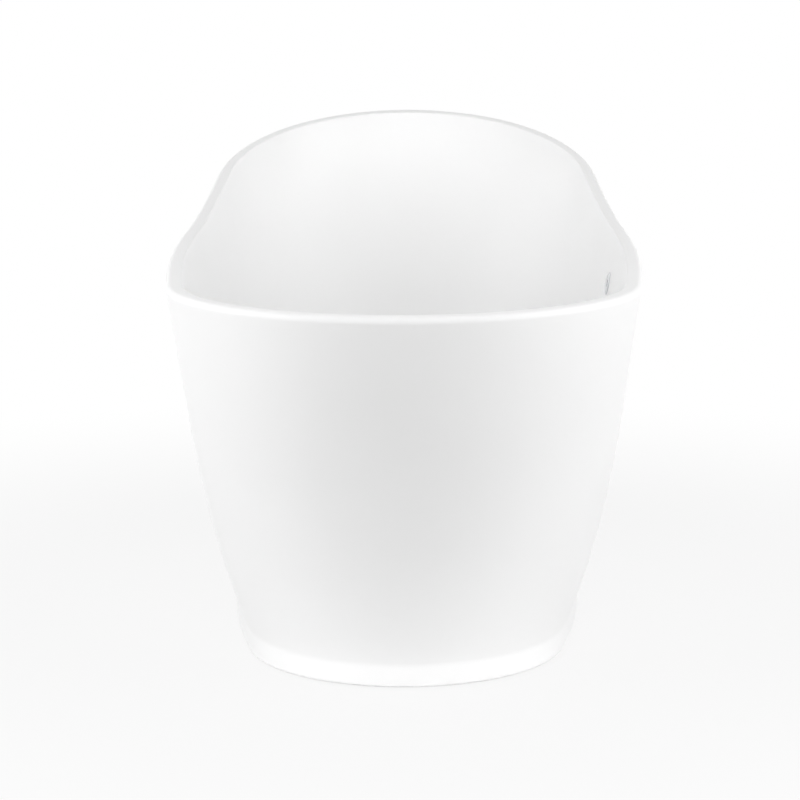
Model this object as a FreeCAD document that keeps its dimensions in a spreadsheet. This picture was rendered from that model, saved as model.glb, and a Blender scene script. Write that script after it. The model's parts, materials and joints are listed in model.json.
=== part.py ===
import FreeCAD, Part
import math
import os
import re

import Sketcher
from FreeCAD import Placement, Rotation, Vector

# Freestanding soaking tub with one raised end, in millimetres.
# +Y is the tub's length: the low foot end at -Y, the raised head end at +Y. +Z is up.
# The origin is on the floor under the middle of the tub.

doc = FreeCAD.newDocument("soaking_tub")
sheet = doc.addObject("Spreadsheet::Sheet", "Sizes")

SIZES = [
    # Outer shell, as ovals at four levels; widths are shares of the rim's, lengths of its tips
    ("foot_tip", 853.0, "centre line to the rim's foot tip"),
    ("head_tip", 850.0, "centre line to the rim's head tip, at the top of the raised end"),
    ("widest_station", 80.0, "where the ovals are widest, from the centre line towards the head"),
    ("plinth_level", 38.0, "top of the upright plinth"),
    ("waist_level", 327.0, "middle oval"),
    ("rim_low", 617.0, "rim along the foot end and the sides"),
    ("rim_high", 777.0, "rim at the head tip"),
    ("rim_half_width", 385.0, "at the low rim's level"),
    ("plinth_width_share", 0.77, ""),
    ("waist_width_share", 0.9377, ""),
    ("side_lean_share", 0.144375, "walls above the low rim lean out by this share of their rise"),
    ("plinth_foot_share", 0.6495, ""),
    ("waist_foot_share", 0.816, ""),
    ("foot_lean_share", 0.2559, ""),
    ("plinth_head_share", 0.6747, ""),
    ("waist_head_share", 0.8094, ""),
    ("head_lean_share", 0.23746875, ""),
    ("plinth_end_share", 0.86, "end radius as a share of the half width"),
    ("waist_end_share", 0.89, ""),
    ("rim_end_share", 0.92, ""),
    # Rim
    ("rise_start", 315.0, "where the level rim and the rising rim would meet"),
    ("rise_bend", 200.0, "length of the bend on each side of that point"),
    ("rim_width", 25.5, ""),
    ("rim_skin", 9.0, "thickness of the rolled rim"),
    ("rim_round", 8.0, "outer edge"),
    ("rim_inner_round", 4.0, "inner edge"),
    ("lip_drop", 16.0, "how far the rolled rim turns down outside"),
    ("seam_gap", 0.3, "joint under the rolled rim"),
    ("skirt_skin", 5.0, ""),
    ("skirt_lift", 2.0, "plinth's lower edge above the floor"),
    ("plinth_round", 3.5, "plinth's lower outer edge"),
    ("crease_round", 30.0, "hollow crease above the plinth"),
    # Bath
    ("basin_skin", 5.0, ""),
    ("floor_skin", 6.0, ""),
    ("floor_side_gap", 46.0, "bath's floor, inside the plinth's sides"),
    ("floor_foot_gap", 2.0, "bath's floor, inside the plinth's foot end"),
    ("floor_head_gap", 103.5, "bath's floor, inside the plinth's head end"),
    ("floor_end_share", 0.9, ""),
    ("seat_level", 372.0, "middle oval of the bath"),
    ("seat_side_gap", 49.0, "inside the waist's sides"),
    ("seat_foot_reach", 4.0, "past the waist's foot end"),
    ("seat_head_gap", 48.0, "inside the waist's head end"),
    ("floor_round", 55.0, "between the bath's floor and walls"),
    # Frame under the bath
    ("tube_side", 30.0, ""),
    ("tube_wall", 2.0, ""),
    ("tube_round", 3.0, ""),
    ("cross_level", 45.0, "underside of the cross tubes"),
    ("cross_overhang", 25.0, "cross tubes, past the feet's centres"),
    ("cross_share", 0.68, "cross tubes' distance from the middle, as a share of the plinth's head end"),
    ("board_thick", 15.0, ""),
    ("board_side_gap", 65.0, "board, inside the bath's floor"),
    ("board_foot_gap", 65.0, ""),
    ("board_head_gap", 70.0, ""),
    ("board_screw_inset", 60.0, "end screws, inside the cross tubes"),
    ("board_screw_grip", 10.0, "how far a screw goes into the board"),
    ("screw_radius", 2.5, ""),
    ("screw_head_radius", 5.0, ""),
    ("screw_head_thick", 3.0, ""),
    ("screw_gap", 0.3, "hole round a screw"),
    # Levelling feet
    ("foot_share", 0.664, "feet's distance from the middle, as a share of the plinth's half width"),
    ("foot_rail_gap", 21.3928, "between a rail and the centre of a foot"),
    ("pad_radius", 25.0, ""),
    ("pad_thick", 6.0, ""),
    ("pad_height", 14.0, ""),
    ("pad_boss_radius", 11.0, ""),
    ("pad_floor", 4.0, "under the stud's end"),
    ("pad_round", 2.0, ""),
    ("stud_radius", 6.0, ""),
    ("stud_top", 88.0, ""),
    ("stud_collar_height", 6.0, ""),
    ("stud_collar_radius", 10.0, "across the corners"),
    ("socket_gap", 0.05, ""),
    ("thread_gap", 0.3, "between a stud and its nuts"),
    ("nut_radius", 11.0, "across the corners"),
    ("frame_nut_height", 10.0, ""),
    ("lock_nut_height", 6.0, ""),
    # Skirt brackets and blocks
    ("bracket_width", 40.0, ""),
    ("bracket_thick", 3.0, ""),
    ("bracket_bend", 4.0, ""),
    ("bracket_low", 10.0, "lower end above the floor"),
    ("block_thick", 15.0, ""),
    ("block_low", 8.0, ""),
    ("block_high", 36.0, ""),
    ("block_width", 60.0, ""),
    ("bond_gap", 0.3, "bond between a block and the skirt"),
    ("bracket_screw_spread", 10.0, "screws, to each side of a bracket's middle"),
    ("block_screw_grip", 11.0, ""),
    ("block_screw_level", 26.0, ""),
    ("tube_screw_grip", 8.0, ""),
    # Waste
    ("waste_station", 35.0, "waste and overflow, from the middle towards the head"),
    ("waste_tube_radius", 22.0, ""),
    ("waste_tube_wall", 2.5, ""),
    ("waste_hole_gap", 1.5, "hole round the waste tube"),
    ("flange_radius", 35.0, ""),
    ("flange_thick", 2.5, ""),
    ("flange_round", 1.2, ""),
    ("gasket_thick", 2.0, ""),
    ("gasket_radius", 34.0, ""),
    ("waste_nut_height", 10.0, ""),
    ("waste_nut_radius", 34.0, "across the corners"),
    ("waste_nut_gap", 0.3, ""),
    ("waste_tube_end", 74.0, "lower end of the flange's tube"),
    ("spider_level", 88.0, ""),
    ("spider_height", 8.0, ""),
    ("spider_bar", 4.0, ""),
    ("spider_hub_radius", 8.0, ""),
    ("spindle_radius", 3.0, ""),
    ("spindle_height", 7.0, ""),
    ("cartridge_radius", 7.0, ""),
    ("cartridge_top", 124.0, ""),
    ("stem_radius", 4.0, ""),
    ("stem_gap", 0.3, "round the stem in its cartridge"),
    ("stem_grip", 18.5, "how far the stem reaches into its cartridge"),
    ("seal_gap", 0.3, "between the closed cap's seal and the flange"),
    ("seal_thick", 2.5, ""),
    ("seal_radius", 27.0, ""),
    ("seal_inner_radius", 21.5, ""),
    ("cap_radius", 31.0, ""),
    ("cap_thick", 4.0, ""),
    ("cap_round", 2.5, ""),
    ("body_radius", 27.0, "waste body"),
    ("body_top", 90.0, ""),
    ("body_bottom", 30.0, ""),
    ("socket_shoulder", 0.3, "end gap in a pipe socket"),
    ("tail_radius", 20.0, ""),
    ("tail_wall", 2.0, ""),
    ("tail_bottom", 6.0, ""),
    ("tail_socket", 14.0, ""),
    ("tail_free", 12.0, "tail pipe's free end, up to its stop bead"),
    ("tail_bead", 1.5, "how far the stop bead stands out"),
    ("pipe_fit", 0.3, "gap round a pipe in a socket"),
    ("slip_nut_wall", 4.0, ""),
    ("slip_nut_lip", 4.0, ""),
    ("slip_nut_cover", 8.0, "how far a slip nut covers its socket"),
    ("slip_seal_thick", 3.0, ""),
    # Overflow
    ("overflow_level", 537.0, ""),
    ("overflow_radius", 19.5, ""),
    ("overflow_bore_radius", 9.0, ""),
    ("overflow_tube_radius", 11.0, ""),
    ("overflow_face", 3.5, "how far the ring stands off the wall"),
    ("overflow_edge", 1.6, ""),
    ("overflow_crest_radius", 15.5, ""),
    ("overflow_hole_gap", 1.0, ""),
    ("overflow_wall_gap", 0.3, "between the ring and the wall"),
    ("overflow_gasket_thick", 2.0, ""),
    ("cup_radius", 19.0, "overflow body behind the wall"),
    ("cup_depth", 16.0, ""),
    ("cup_wall", 2.0, ""),
    ("spout_length", 34.0, "from the cup's centre"),
    ("spout_socket", 12.0, ""),
    ("spout_wall", 1.0, ""),
    ("pipe_radius", 6.5, "overflow pipe"),
    ("pipe_wall", 1.5, ""),
    ("pipe_bend_radius", 45.0, ""),
    ("pipe_level", 58.0, "the pipe's lower run"),
    ("branch_length", 52.0, "waste body's side branch, from its axis"),
    ("branch_wall", 3.0, ""),
    ("branch_socket", 18.0, ""),
    ("overrun", 10.0, "how far a cut runs past what it cuts"),
]

ALIASES = {alias for alias, _, _ in SIZES}
for row, (alias, number, meaning) in enumerate(SIZES, start=1):
    sheet.set(f"A{row}", meaning or alias.replace("_", " "))
    sheet.set(f"B{row}", str(number))
    sheet.setAlias(f"B{row}", alias)
doc.recompute()

WORD = re.compile(r"[a-z][a-z_]+")
PLINTH = {
    "half_width": "(rim_half_width * plinth_width_share)",
    "foot": "(foot_tip * plinth_foot_share)",
    "head": "(head_tip * plinth_head_share)",
}
WAIST = {
    "half_width": "(rim_half_width * waist_width_share)",
    "foot": "(foot_tip * waist_foot_share)",
    "head": "(head_tip * waist_head_share)",
}
RIM_RISE = "(rim_high - rim_low)"
RIM = {
    "half_width": "rim_half_width",
    "foot": "foot_tip",
    "head": f"(head_tip - {RIM_RISE} * head_lean_share)",
}
CROWN = {
    "half_width": f"(rim_half_width + {RIM_RISE} * side_lean_share)",
    "foot": f"(foot_tip + {RIM_RISE} * foot_lean_share)",
    "head": "head_tip",
}
FLOOR = {
    "half_width": f"({PLINTH['half_width']} - floor_side_gap)",
    "foot": f"({PLINTH['foot']} - floor_foot_gap)",
    "head": f"({PLINTH['head']} - floor_head_gap)",
}
SEAT = {
    "half_width": f"({WAIST['half_width']} - seat_side_gap)",
    "foot": f"({WAIST['foot']} + seat_foot_reach)",
    "head": f"({WAIST['head']} - seat_head_gap)",
}
BOARD = {
    "half_width": f"({FLOOR['half_width']} - board_side_gap)",
    "foot": f"({FLOOR['foot']} - board_foot_gap)",
    "head": f"({FLOOR['head']} - board_head_gap)",
}
CROSS_STATION = f"({PLINTH['head']} * cross_share)"
FOOT_STATION = f"({PLINTH['half_width']} * foot_share)"
RAIL_STATION = f"({FOOT_STATION} - foot_rail_gap - tube_side / 2)"
BOARD_SCREW = f"({CROSS_STATION} - board_screw_inset)"
HIGH = "(cross_level + tube_side + tube_side)"
UNDER_FLOOR = f"({HIGH} + board_thick)"
BATH_FLOOR = f"({UNDER_FLOOR} + floor_skin)"
RAIL_LEVEL = "(cross_level + tube_side)"


def ref(text):
    """An expression in plain size names, as the sheet's references."""
    return WORD.sub(lambda m: "Sizes." + m.group(0) if m.group(0) in ALIASES else m.group(0), text)


def value(text):
    return float(sheet.evalExpression(ref(text)))


CLOSE = value("socket_gap") / 10


def bind(obj, **sizes):
    """Ties properties to expressions; a double underscore in a name stands for a dot."""
    for prop, text in sizes.items():
        obj.setExpression(prop.replace("__", "."), ref(text))
    return obj


def place(obj, x="0", y="0", z="0", axis=None, angle=0):
    if axis:
        obj.Placement = Placement(Vector(), Rotation(axis, angle))
    for letter, text in zip("xyz", (x, y, z)):
        if text != "0":
            obj.setExpression(f"Placement.Base.{letter}", ref(text))
    return obj


# Solids from primitives

X_AXIS, Y_AXIS, Z_AXIS = Vector(1, 0, 0), Vector(0, 1, 0), Vector(0, 0, 1)


def rod(name, radius, length, x="0", y="0", z="0", axis=None, angle=0):
    obj = bind(doc.addObject("Part::Cylinder", name), Radius=radius, Height=length)
    return place(obj, x, y, z, axis, angle)


def hexagon(name, corner_radius, height, x="0", y="0", z="0"):
    obj = bind(doc.addObject("Part::Prism", name), Circumradius=corner_radius, Height=height)
    obj.Polygon = 6
    return place(obj, x, y, z)


def less(name, base, *tools):
    for i, tool in enumerate(tools):
        last = i == len(tools) - 1
        cut = doc.addObject("Part::Cut", name if last else f"{name}_less_{i + 1}")
        cut.Base, cut.Tool = base, tool
        base = cut
    return base


def joined(name, *shapes):
    obj = doc.addObject("Part::MultiFuse", name)
    obj.Shapes = list(shapes)
    obj.Refine = True
    return obj


def group(name, members):
    obj = doc.addObject("Part::Compound", name)
    obj.Links = list(members)
    return obj


def ring(name, outer, inner, height, x="0", y="0", z="0"):
    rim = rod(f"{name}_outside", outer, height, x, y, z)
    hole = rod(f"{name}_hole", inner, f"{height} + overrun + overrun", x, y, f"{z} - overrun")
    return less(name, rim, hole)


# Bodies from sketches


def new_body(name):
    return doc.addObject("PartDesign::Body", name)


def new_sketch(body, name, role, offset="0"):
    sketch = body.newObject("Sketcher::SketchObject", name)
    plane = next(f for f in body.Origin.OriginFeatures if f.Role == role)
    sketch.AttachmentSupport = [(plane, "")]
    sketch.MapMode = "FlatFace"
    if offset != "0":
        sketch.setExpression("AttachmentOffset.Base.z", ref(offset))
    return sketch


def pin_point(sketch, index, end, x, y):
    """Holds a sketch point at two expressions; zero means on the sketch's own axis."""
    for kind, text, axis in (("DistanceX", x, -2), ("DistanceY", y, -1)):
        if text == "0":
            sketch.addConstraint(Sketcher.Constraint("PointOnObject", index, end, axis))
        else:
            rule = Sketcher.Constraint(kind, -1, 1, index, end, value(text))
            number = sketch.addConstraint(rule)
            sketch.setExpression(f"Constraints[{number}]", ref(text))


def outline(sketch, points):
    """A closed outline of straight edges through points given as pairs of expressions."""
    first = sketch.GeometryCount
    places = [Vector(value(x), value(y), 0) for x, y in points]
    count = len(places)
    for i in range(count):
        sketch.addGeometry(Part.LineSegment(places[i], places[(i + 1) % count]), False)
    for i in range(count):
        following = first + (i + 1) % count
        sketch.addConstraint(Sketcher.Constraint("Coincident", first + i, 2, following, 1))
    for i, (x, y) in enumerate(points):
        pin_point(sketch, first + i, 1, x, y)


def circle(sketch, x, y, radius):
    centre = Vector(value(x), value(y), 0)
    index = sketch.addGeometry(Part.Circle(centre, Z_AXIS, value(radius)), False)
    pin_point(sketch, index, 3, x, y)
    number = sketch.addConstraint(Sketcher.Constraint("Radius", index, value(radius)))
    sketch.setExpression(f"Constraints[{number}]", ref(radius))


def turned(name, points):
    """A body turned about its own Z axis; points are (radius, height) pairs."""
    body = new_body(name)
    sketch = new_sketch(body, f"{name}_profile", "XZ_Plane")
    outline(sketch, points)
    turn = body.newObject("PartDesign::Revolution", f"{name}_turn")
    turn.Profile = sketch
    turn.ReferenceAxis = (sketch, ["V_Axis"])
    turn.Angle = 360
    doc.recompute()
    return body


def pad(body, sketch, length):
    feature = body.newObject("PartDesign::Pad", f"{sketch.Name}_pad")
    feature.Profile = sketch
    feature.SideType = "Symmetric"
    bind(feature, Length=length)
    doc.recompute()
    return feature


def drill(body, sketch):
    """Cuts right through the body, both ways from the sketch."""
    feature = body.newObject("PartDesign::Pocket", f"{sketch.Name}_cut")
    feature.Profile = sketch
    feature.SideType = "Symmetric"
    feature.Type = "ThroughAll"
    doc.recompute()
    return feature


def round_edges(body, radius, wanted):
    """Fillets the edges of the body's tip that a test on their middle point picks."""
    base = body.Tip
    names = [f"Edge{i + 1}" for i, edge in enumerate(base.Shape.Edges) if wanted(edge)]
    feature = body.newObject("PartDesign::Fillet", f"{body.Name}_round_{len(body.Group)}")
    feature.Base = (base, names)
    bind(feature, Radius=radius)
    doc.recompute()
    return feature


def on_circle(radius, level):
    """Test for a circular edge of this radius at this height."""
    r, z = value(radius), value(level)

    def test(edge):
        curve = edge.Curve
        same = isinstance(curve, Part.Circle) and abs(curve.Radius - r) < CLOSE
        return same and abs(edge.CenterOfMass.z - z) < CLOSE

    return test


NODES = {}


def node(name, obj):
    """Names a finished piece; the label is its file's name."""
    obj.Label = name
    NODES[name] = obj
    return obj


# Tub shells: ovals of six arcs, lofted by height and cut along the rim


def oval(half_width, foot, head, foot_radius, head_radius, level):
    """An oval with an arc at each end and two long side arcs on each side, all tangent."""
    widest = value("widest_station")
    joints = {}
    for end, tip, radius, sign in (("foot", foot, foot_radius, -1), ("head", head, head_radius, 1)):
        reach = abs(tip - widest) - radius
        side = (reach**2 + half_width**2 - radius**2) / (2 * (half_width - radius))
        turn = math.atan2(reach, side - half_width)
        middle = turn / 2
        joints[end] = [
            Vector(half_width - side + side * math.cos(a), widest + sign * side * math.sin(a), level)
            for a in (middle, turn)
        ]

    def mirror(point):
        return Vector(-point.x, point.y, point.z)

    right, left = Vector(half_width, widest, level), Vector(-half_width, widest, level)
    (foot_mid, foot_joint), (head_mid, head_joint) = joints["foot"], joints["head"]
    arcs = [
        (right, head_mid, head_joint),
        (head_joint, Vector(0, head, level), mirror(head_joint)),
        (mirror(head_joint), mirror(head_mid), left),
        (left, mirror(foot_mid), mirror(foot_joint)),
        (mirror(foot_joint), Vector(0, foot, level), foot_joint),
        (foot_joint, foot_mid, right),
    ]
    return Part.Wire([Part.Arc(*arc).toShape() for arc in arcs])


def inset_oval(sizes, share, level, inset):
    """An oval of named sizes, drawn in by an inset."""
    half_width, foot, head = (value(sizes[k]) for k in ("half_width", "foot", "head"))
    radius = share * half_width - inset
    return oval(half_width - inset, -foot + inset, head - inset, radius, radius, level)


def past_crown(key):
    """A size of the crown, carried on past the head tip's level by the cuts' overrun."""
    high, low = CROWN[key], RIM[key]
    return f"({high} + ({high} - {low}) * overrun / (rim_high - rim_low))"


PAST_CROWN = {key: past_crown(key) for key in CROWN}
OUTER = [
    ("plinth_level", PLINTH, "plinth_end_share"),
    ("waist_level", WAIST, "waist_end_share"),
    ("rim_low", RIM, "rim_end_share"),
    ("rim_high + overrun", PAST_CROWN, "rim_end_share"),
]


def outer_loft(inset):
    """The outer wall's form, drawn in by a distance."""
    wires = [inset_oval(sizes, value(share), value(level), inset) for level, sizes, share in OUTER]
    return Part.makeLoft(wires, True, False)


def bath_loft(growth):
    """The bath's hollow, grown by a distance on its walls and down at its floor."""
    low = value(BATH_FLOOR) - (value("floor_skin") if growth else 0)
    share = value("rim_end_share")
    wires = [
        inset_oval(FLOOR, value("floor_end_share"), low, -growth),
        inset_oval(SEAT, share, value("seat_level"), -growth),
    ]
    inset = value("rim_width") - growth
    wires += [inset_oval(sizes, share, value(level), inset) for level, sizes, _ in OUTER[2:]]
    form = Part.makeLoft(wires, True, False)
    edges = [edge for edge in form.Edges if abs(edge.BoundBox.ZMax - low) < CLOSE]
    return form.makeFillet(value("floor_round") + growth, edges)


def under_rim(drop):
    """Everything below the rim's side line, lowered by a drop."""
    low, high = value("rim_low") - drop, value("rim_high") - drop
    start, bend, tip = value("rise_start"), value("rise_bend"), value("head_tip")
    slope = math.atan2(high - low, tip - start)
    before = Vector(0, start - bend, low)
    after = Vector(0, start + bend * math.cos(slope), low + bend * math.sin(slope))
    radius = bend / math.tan(slope / 2)
    half = slope / 2
    mid = Vector(0, before.y + radius * math.sin(half), low + radius * (1 - math.cos(half)))
    far = value(f"{PAST_CROWN['foot']} + overrun")
    past = value("overrun") + value("head_tip")
    end = Vector(0, past, high + (past - tip) * math.tan(slope))
    bottom = -value("overrun")
    foot = Vector(0, -far, low)
    corners = [end, Vector(0, past, bottom), Vector(0, -far, bottom), foot]
    edges = [Part.makeLine(foot, before), Part.Arc(before, mid, after).toShape(), Part.makeLine(after, end)]
    edges += [Part.makeLine(a, b) for a, b in zip(corners, corners[1:])]
    side = value(f"{PAST_CROWN['half_width']} + overrun")
    face = Part.Face(Part.Wire(edges))
    face.translate(Vector(-side, 0, 0))
    return face.extrude(Vector(side + side, 0, 0))


def plinth_prism(inset, low, high):
    wire = inset_oval(PLINTH, value("plinth_end_share"), low, inset)
    return Part.Face(wire).extrude(Vector(0, 0, high - low))


def wall_reach(hollow, level):
    """How far the bath's hollow reaches to the side at the waste's station."""
    y = value("waste_station")
    ray = Part.makeLine(Vector(0, y, level), Vector(value(CROWN["half_width"]), y, level))
    return ray.common(hollow).Length


def solid_feature(name, shape):
    obj = doc.addObject("Part::Feature", name)
    obj.Shape = shape
    return obj


hollow = bath_loft(0)
bath_outside = bath_loft(value("basin_skin"))
tub_outside = outer_loft(0)
below_rim = under_rim(0)
below_lip = under_rim(value("lip_drop"))
top = tub_outside.common(below_rim)


def on_sheets(first, second):
    """Test for an edge whose middle lies on two surfaces."""

    def test(edge):
        middle = Part.Vertex(edge.valueAt((edge.FirstParameter + edge.LastParameter) / 2))
        return all(middle.distToShape(sheet_)[0] < CLOSE for sheet_ in (first, second))

    return test


def rounded(shape, radius, wanted):
    return shape.makeFillet(radius, [edge for edge in shape.Edges if wanted(edge)])


# The bath: walls and floor, and a rolled rim that turns down over the skirt

rim_plate = top.cut(under_rim(value("rim_skin")))
rim_lip = top.cut(below_lip).cut(outer_loft(value("rim_skin")))
walls = bath_outside.common(below_rim)
bath = rim_plate.fuse([rim_lip, walls]).cut(hollow).removeSplitter()
rim_sheet, outer_sheet, hollow_sheet = below_rim.Shells[0], tub_outside.Shells[0], hollow.Shells[0]
bath = rounded(bath, value("rim_round"), on_sheets(rim_sheet, outer_sheet))
bath = rounded(bath, value("rim_inner_round"), on_sheets(rim_sheet, hollow_sheet))

# The overflow's own frame: its axis is square to the wall, and points into the bath

reach_high = wall_reach(hollow, value("overflow_level + overflow_radius"))
reach_low = wall_reach(hollow, value("overflow_level - overflow_radius"))
wall_tilt = math.atan2(reach_high - reach_low, value("overflow_radius + overflow_radius"))
wall_point = Vector((reach_high + reach_low) / 2, value("waste_station"), value("overflow_level"))
into_bath = Vector(-math.cos(wall_tilt), 0, math.sin(wall_tilt))
down_wall = Vector(-math.sin(wall_tilt), 0, -math.cos(wall_tilt))
overflow_turn = Rotation(down_wall, -Y_AXIS, into_bath, "ZXY")


def on_wall(obj, depth=0):
    """Puts a piece made about its own Z axis on the overflow's axis, a depth behind the wall's face."""
    obj.Placement = Placement(wall_point - into_bath * depth, overflow_turn)
    return obj


overflow_hole = Part.makeCylinder(
    value("overflow_tube_radius + overflow_hole_gap"), value("overrun + overrun"), Vector(0, 0, -value("overrun"))
)
on_wall(overflow_hole)
waste_hole = Part.makeCylinder(
    value("waste_tube_radius + waste_hole_gap"),
    value(f"{BATH_FLOOR} + overrun"),
    Vector(0, value("waste_station"), 0),
)
node("basin_shell", solid_feature("basin_shell", bath.cut([overflow_hole, waste_hole])))

# The skirt: a thin shell under the rolled rim, with an upright plinth

below_seam = under_rim(value("lip_drop + seam_gap"))
plinth_outside = plinth_prism(0, value("skirt_lift"), value("plinth_level"))
skirt_outside = tub_outside.common(below_seam).fuse(plinth_outside).removeSplitter()
lowest = [e for e in skirt_outside.Edges if abs(e.CenterOfMass.z - value("skirt_lift")) < CLOSE]
skirt_outside = skirt_outside.makeFillet(value("plinth_round"), lowest)
crease = [e for e in skirt_outside.Edges if abs(e.CenterOfMass.z - value("plinth_level")) < CLOSE]
skirt_outside = skirt_outside.makeFillet(value("crease_round"), crease)
plinth_inside = plinth_prism(value("skirt_skin"), 0, value("plinth_level"))
skirt_inside = outer_loft(value("skirt_skin")).fuse(plinth_inside)
node("outer_skirt", solid_feature("outer_skirt", skirt_outside.cut(skirt_inside)))


# Frame: two rails on two cross tubes, with a board on the rails


def square_tube(name, half_length, role, holes):
    """A square tube about its own axis, on its lower face's level, with upright holes through it."""
    body = new_body(name)
    section = new_sketch(body, f"{name}_section", role)
    half, inner = "tube_side / 2", "(tube_side / 2 - tube_wall)"
    outline(section, [(f"-{half}", "0"), (half, "0"), (half, "tube_side"), (f"-{half}", "tube_side")])
    low, high = "tube_wall", "tube_side - tube_wall"
    outline(section, [(f"-{inner}", low), (inner, low), (inner, high), (f"-{inner}", high)])
    pad(body, section, f"{half_length} * 2")
    reach = value("tube_side") / 2
    along = "y" if role == "XZ_Plane" else "x"

    def corner(edge):
        middle = edge.CenterOfMass
        across = middle.x if along == "y" else middle.y
        outside = abs(abs(across) - reach) < CLOSE
        end_level = min(abs(middle.z), abs(middle.z - value("tube_side"))) < CLOSE
        return outside and end_level and edge.Length > value(half_length)

    round_edges(body, "tube_round", corner)
    spots = new_sketch(body, f"{name}_holes", "XY_Plane")
    for x, y, radius in holes:
        circle(spots, x, y, radius)
    drill(body, spots)
    return body


SCREW_HOLE = "(screw_radius + screw_gap)"
SIDES = (("left", "-"), ("right", ""))
ENDS = (("foot", "-"), ("head", ""))

for side, sign in SIDES:
    holes = [("0", f"{k}{BOARD_SCREW}", SCREW_HOLE) for k in ("-", "")]
    holes.append(("0", "0", SCREW_HOLE))
    holes += [("0", f"widest_station {k} bracket_screw_spread", SCREW_HOLE) for k in "+-"]
    rail = square_tube(f"frame_rail_{side}", f"({CROSS_STATION} + tube_side / 2)", "XZ_Plane", holes)
    node(f"frame_rail_{side}", place(rail, x=f"{sign}{RAIL_STATION}", z=RAIL_LEVEL))

for end, sign in ENDS:
    holes = [(f"{k}{FOOT_STATION}", "0", "(stud_radius + thread_gap)") for k in ("-", "")]
    holes += [(f"{k}bracket_screw_spread", "0", SCREW_HOLE) for k in ("-", "")]
    cross = square_tube(f"frame_cross_{end}", f"({FOOT_STATION} + cross_overhang)", "YZ_Plane", holes)
    node(f"frame_cross_{end}", place(cross, y=f"{sign}{CROSS_STATION}", z="cross_level"))


def board_body():
    """A board with half-round ends, holed for the waste and for the screws from the rails."""
    body = new_body("floor_board")
    sheet_ = new_sketch(body, "board_plan", "XY_Plane")
    x, foot, head = value(BOARD["half_width"]), -value(BOARD["foot"]), value(BOARD["head"])
    straight = [Vector(s * x, y, 0) for s, y in ((1, foot + x), (1, head - x), (-1, head - x), (-1, foot + x))]
    right = sheet_.addGeometry(Part.LineSegment(straight[0], straight[1]), False)
    head_end = sheet_.addGeometry(Part.Arc(straight[1], Vector(0, head, 0), straight[2]), False)
    left = sheet_.addGeometry(Part.LineSegment(straight[2], straight[3]), False)
    foot_end = sheet_.addGeometry(Part.Arc(straight[3], Vector(0, foot, 0), straight[0]), False)
    for a, b in ((right, head_end), (left, foot_end)):
        sheet_.addConstraint(Sketcher.Constraint("Tangent", a, 2, b, 1))
    for a, b in ((head_end, left), (foot_end, right)):
        sheet_.addConstraint(Sketcher.Constraint("Tangent", a, 2, b, 1))
    sheet_.addConstraint(Sketcher.Constraint("Vertical", right))
    pin_point(sheet_, head_end, 3, "0", f"{BOARD['head']} - {BOARD['half_width']}")
    pin_point(sheet_, foot_end, 3, "0", f"{BOARD['half_width']} - {BOARD['foot']}")
    number = sheet_.addConstraint(Sketcher.Constraint("Radius", head_end, x))
    sheet_.setExpression(f"Constraints[{number}]", ref(BOARD["half_width"]))
    circle(sheet_, "0", "waste_station", "(waste_tube_radius + waste_hole_gap)")
    feature = body.newObject("PartDesign::Pad", "board_pad")
    feature.Profile = sheet_
    bind(feature, Length="board_thick")
    doc.recompute()
    spots = new_sketch(body, "board_screw_spots", "XY_Plane")
    for x in (f"-{RAIL_STATION}", RAIL_STATION):
        for y in (f"-{BOARD_SCREW}", "0", BOARD_SCREW):
            circle(spots, x, y, SCREW_HOLE)
    cut = body.newObject("PartDesign::Pocket", "board_screw_holes")
    cut.Profile = spots
    cut.Reversed = True
    bind(cut, Length="board_screw_grip + screw_gap")
    doc.recompute()
    return body


node("floor_board", place(board_body(), z=HIGH))


def screw(name, grip, x, y, z, axis=None, angle=0):
    """A screw standing on its head; the grip is its shank's length and z the underside it clamps."""
    head = rod(f"{name}_head", "screw_head_radius", "screw_head_thick", z="-screw_head_thick")
    shank = rod(f"{name}_shank", "screw_radius", grip)
    return place(joined(name, head, shank), x, y, z, axis, angle)


board_screws = []
for side, sign in SIDES:
    for place_name, y in (("foot", f"-{BOARD_SCREW}"), ("middle", "0"), ("head", BOARD_SCREW)):
        name = f"board_screw_{side}_{place_name}"
        board_screws.append(screw(name, "tube_side + board_screw_grip", f"{sign}{RAIL_STATION}", y, RAIL_LEVEL))
node("board_screws", group("board_screws", board_screws))


# Levelling feet: a pad and a stud on each end of each cross tube

FEET = [
    (f"{end}_{side}", f"{along}{FOOT_STATION}", f"{across}{CROSS_STATION}")
    for end, across in ENDS
    for side, along in SIDES
]
frame_nuts, lock_nuts = [], []
for name, x, y in FEET:
    profile = [
        ("0", "0"),
        ("pad_radius", "0"),
        ("pad_radius", "pad_thick"),
        ("pad_boss_radius", "pad_height"),
        ("stud_radius + socket_gap", "pad_height"),
        ("stud_radius + socket_gap", "pad_floor"),
        ("0", "pad_floor"),
    ]
    foot_pad = turned(f"foot_pad_{name}", profile)
    round_edges(foot_pad, "pad_round", on_circle("pad_radius", "pad_thick"))
    node(f"foot_pad_{name}", place(foot_pad, x, y))
    shaft = rod(f"stud_shaft_{name}", "stud_radius", "stud_top - pad_floor", z="pad_floor")
    collar = hexagon(f"stud_collar_{name}", "stud_collar_radius", "stud_collar_height", z="pad_height")
    node(f"foot_stud_{name}", place(joined(f"foot_stud_{name}", shaft, collar), x, y))
    for nuts, label, height, level in (
        (frame_nuts, "frame_nut", "frame_nut_height", "cross_level - frame_nut_height"),
        (lock_nuts, "lock_nut", "lock_nut_height", "cross_level - frame_nut_height - lock_nut_height"),
    ):
        outside = hexagon(f"{label}_hex_{name}", "nut_radius", height, x, y, level)
        bore = rod(
            f"{label}_bore_{name}", "stud_radius + thread_gap", f"{height} + overrun * 2", x, y, f"{level} - overrun"
        )
        nuts.append(less(f"{label}_{name}", outside, bore))
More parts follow.
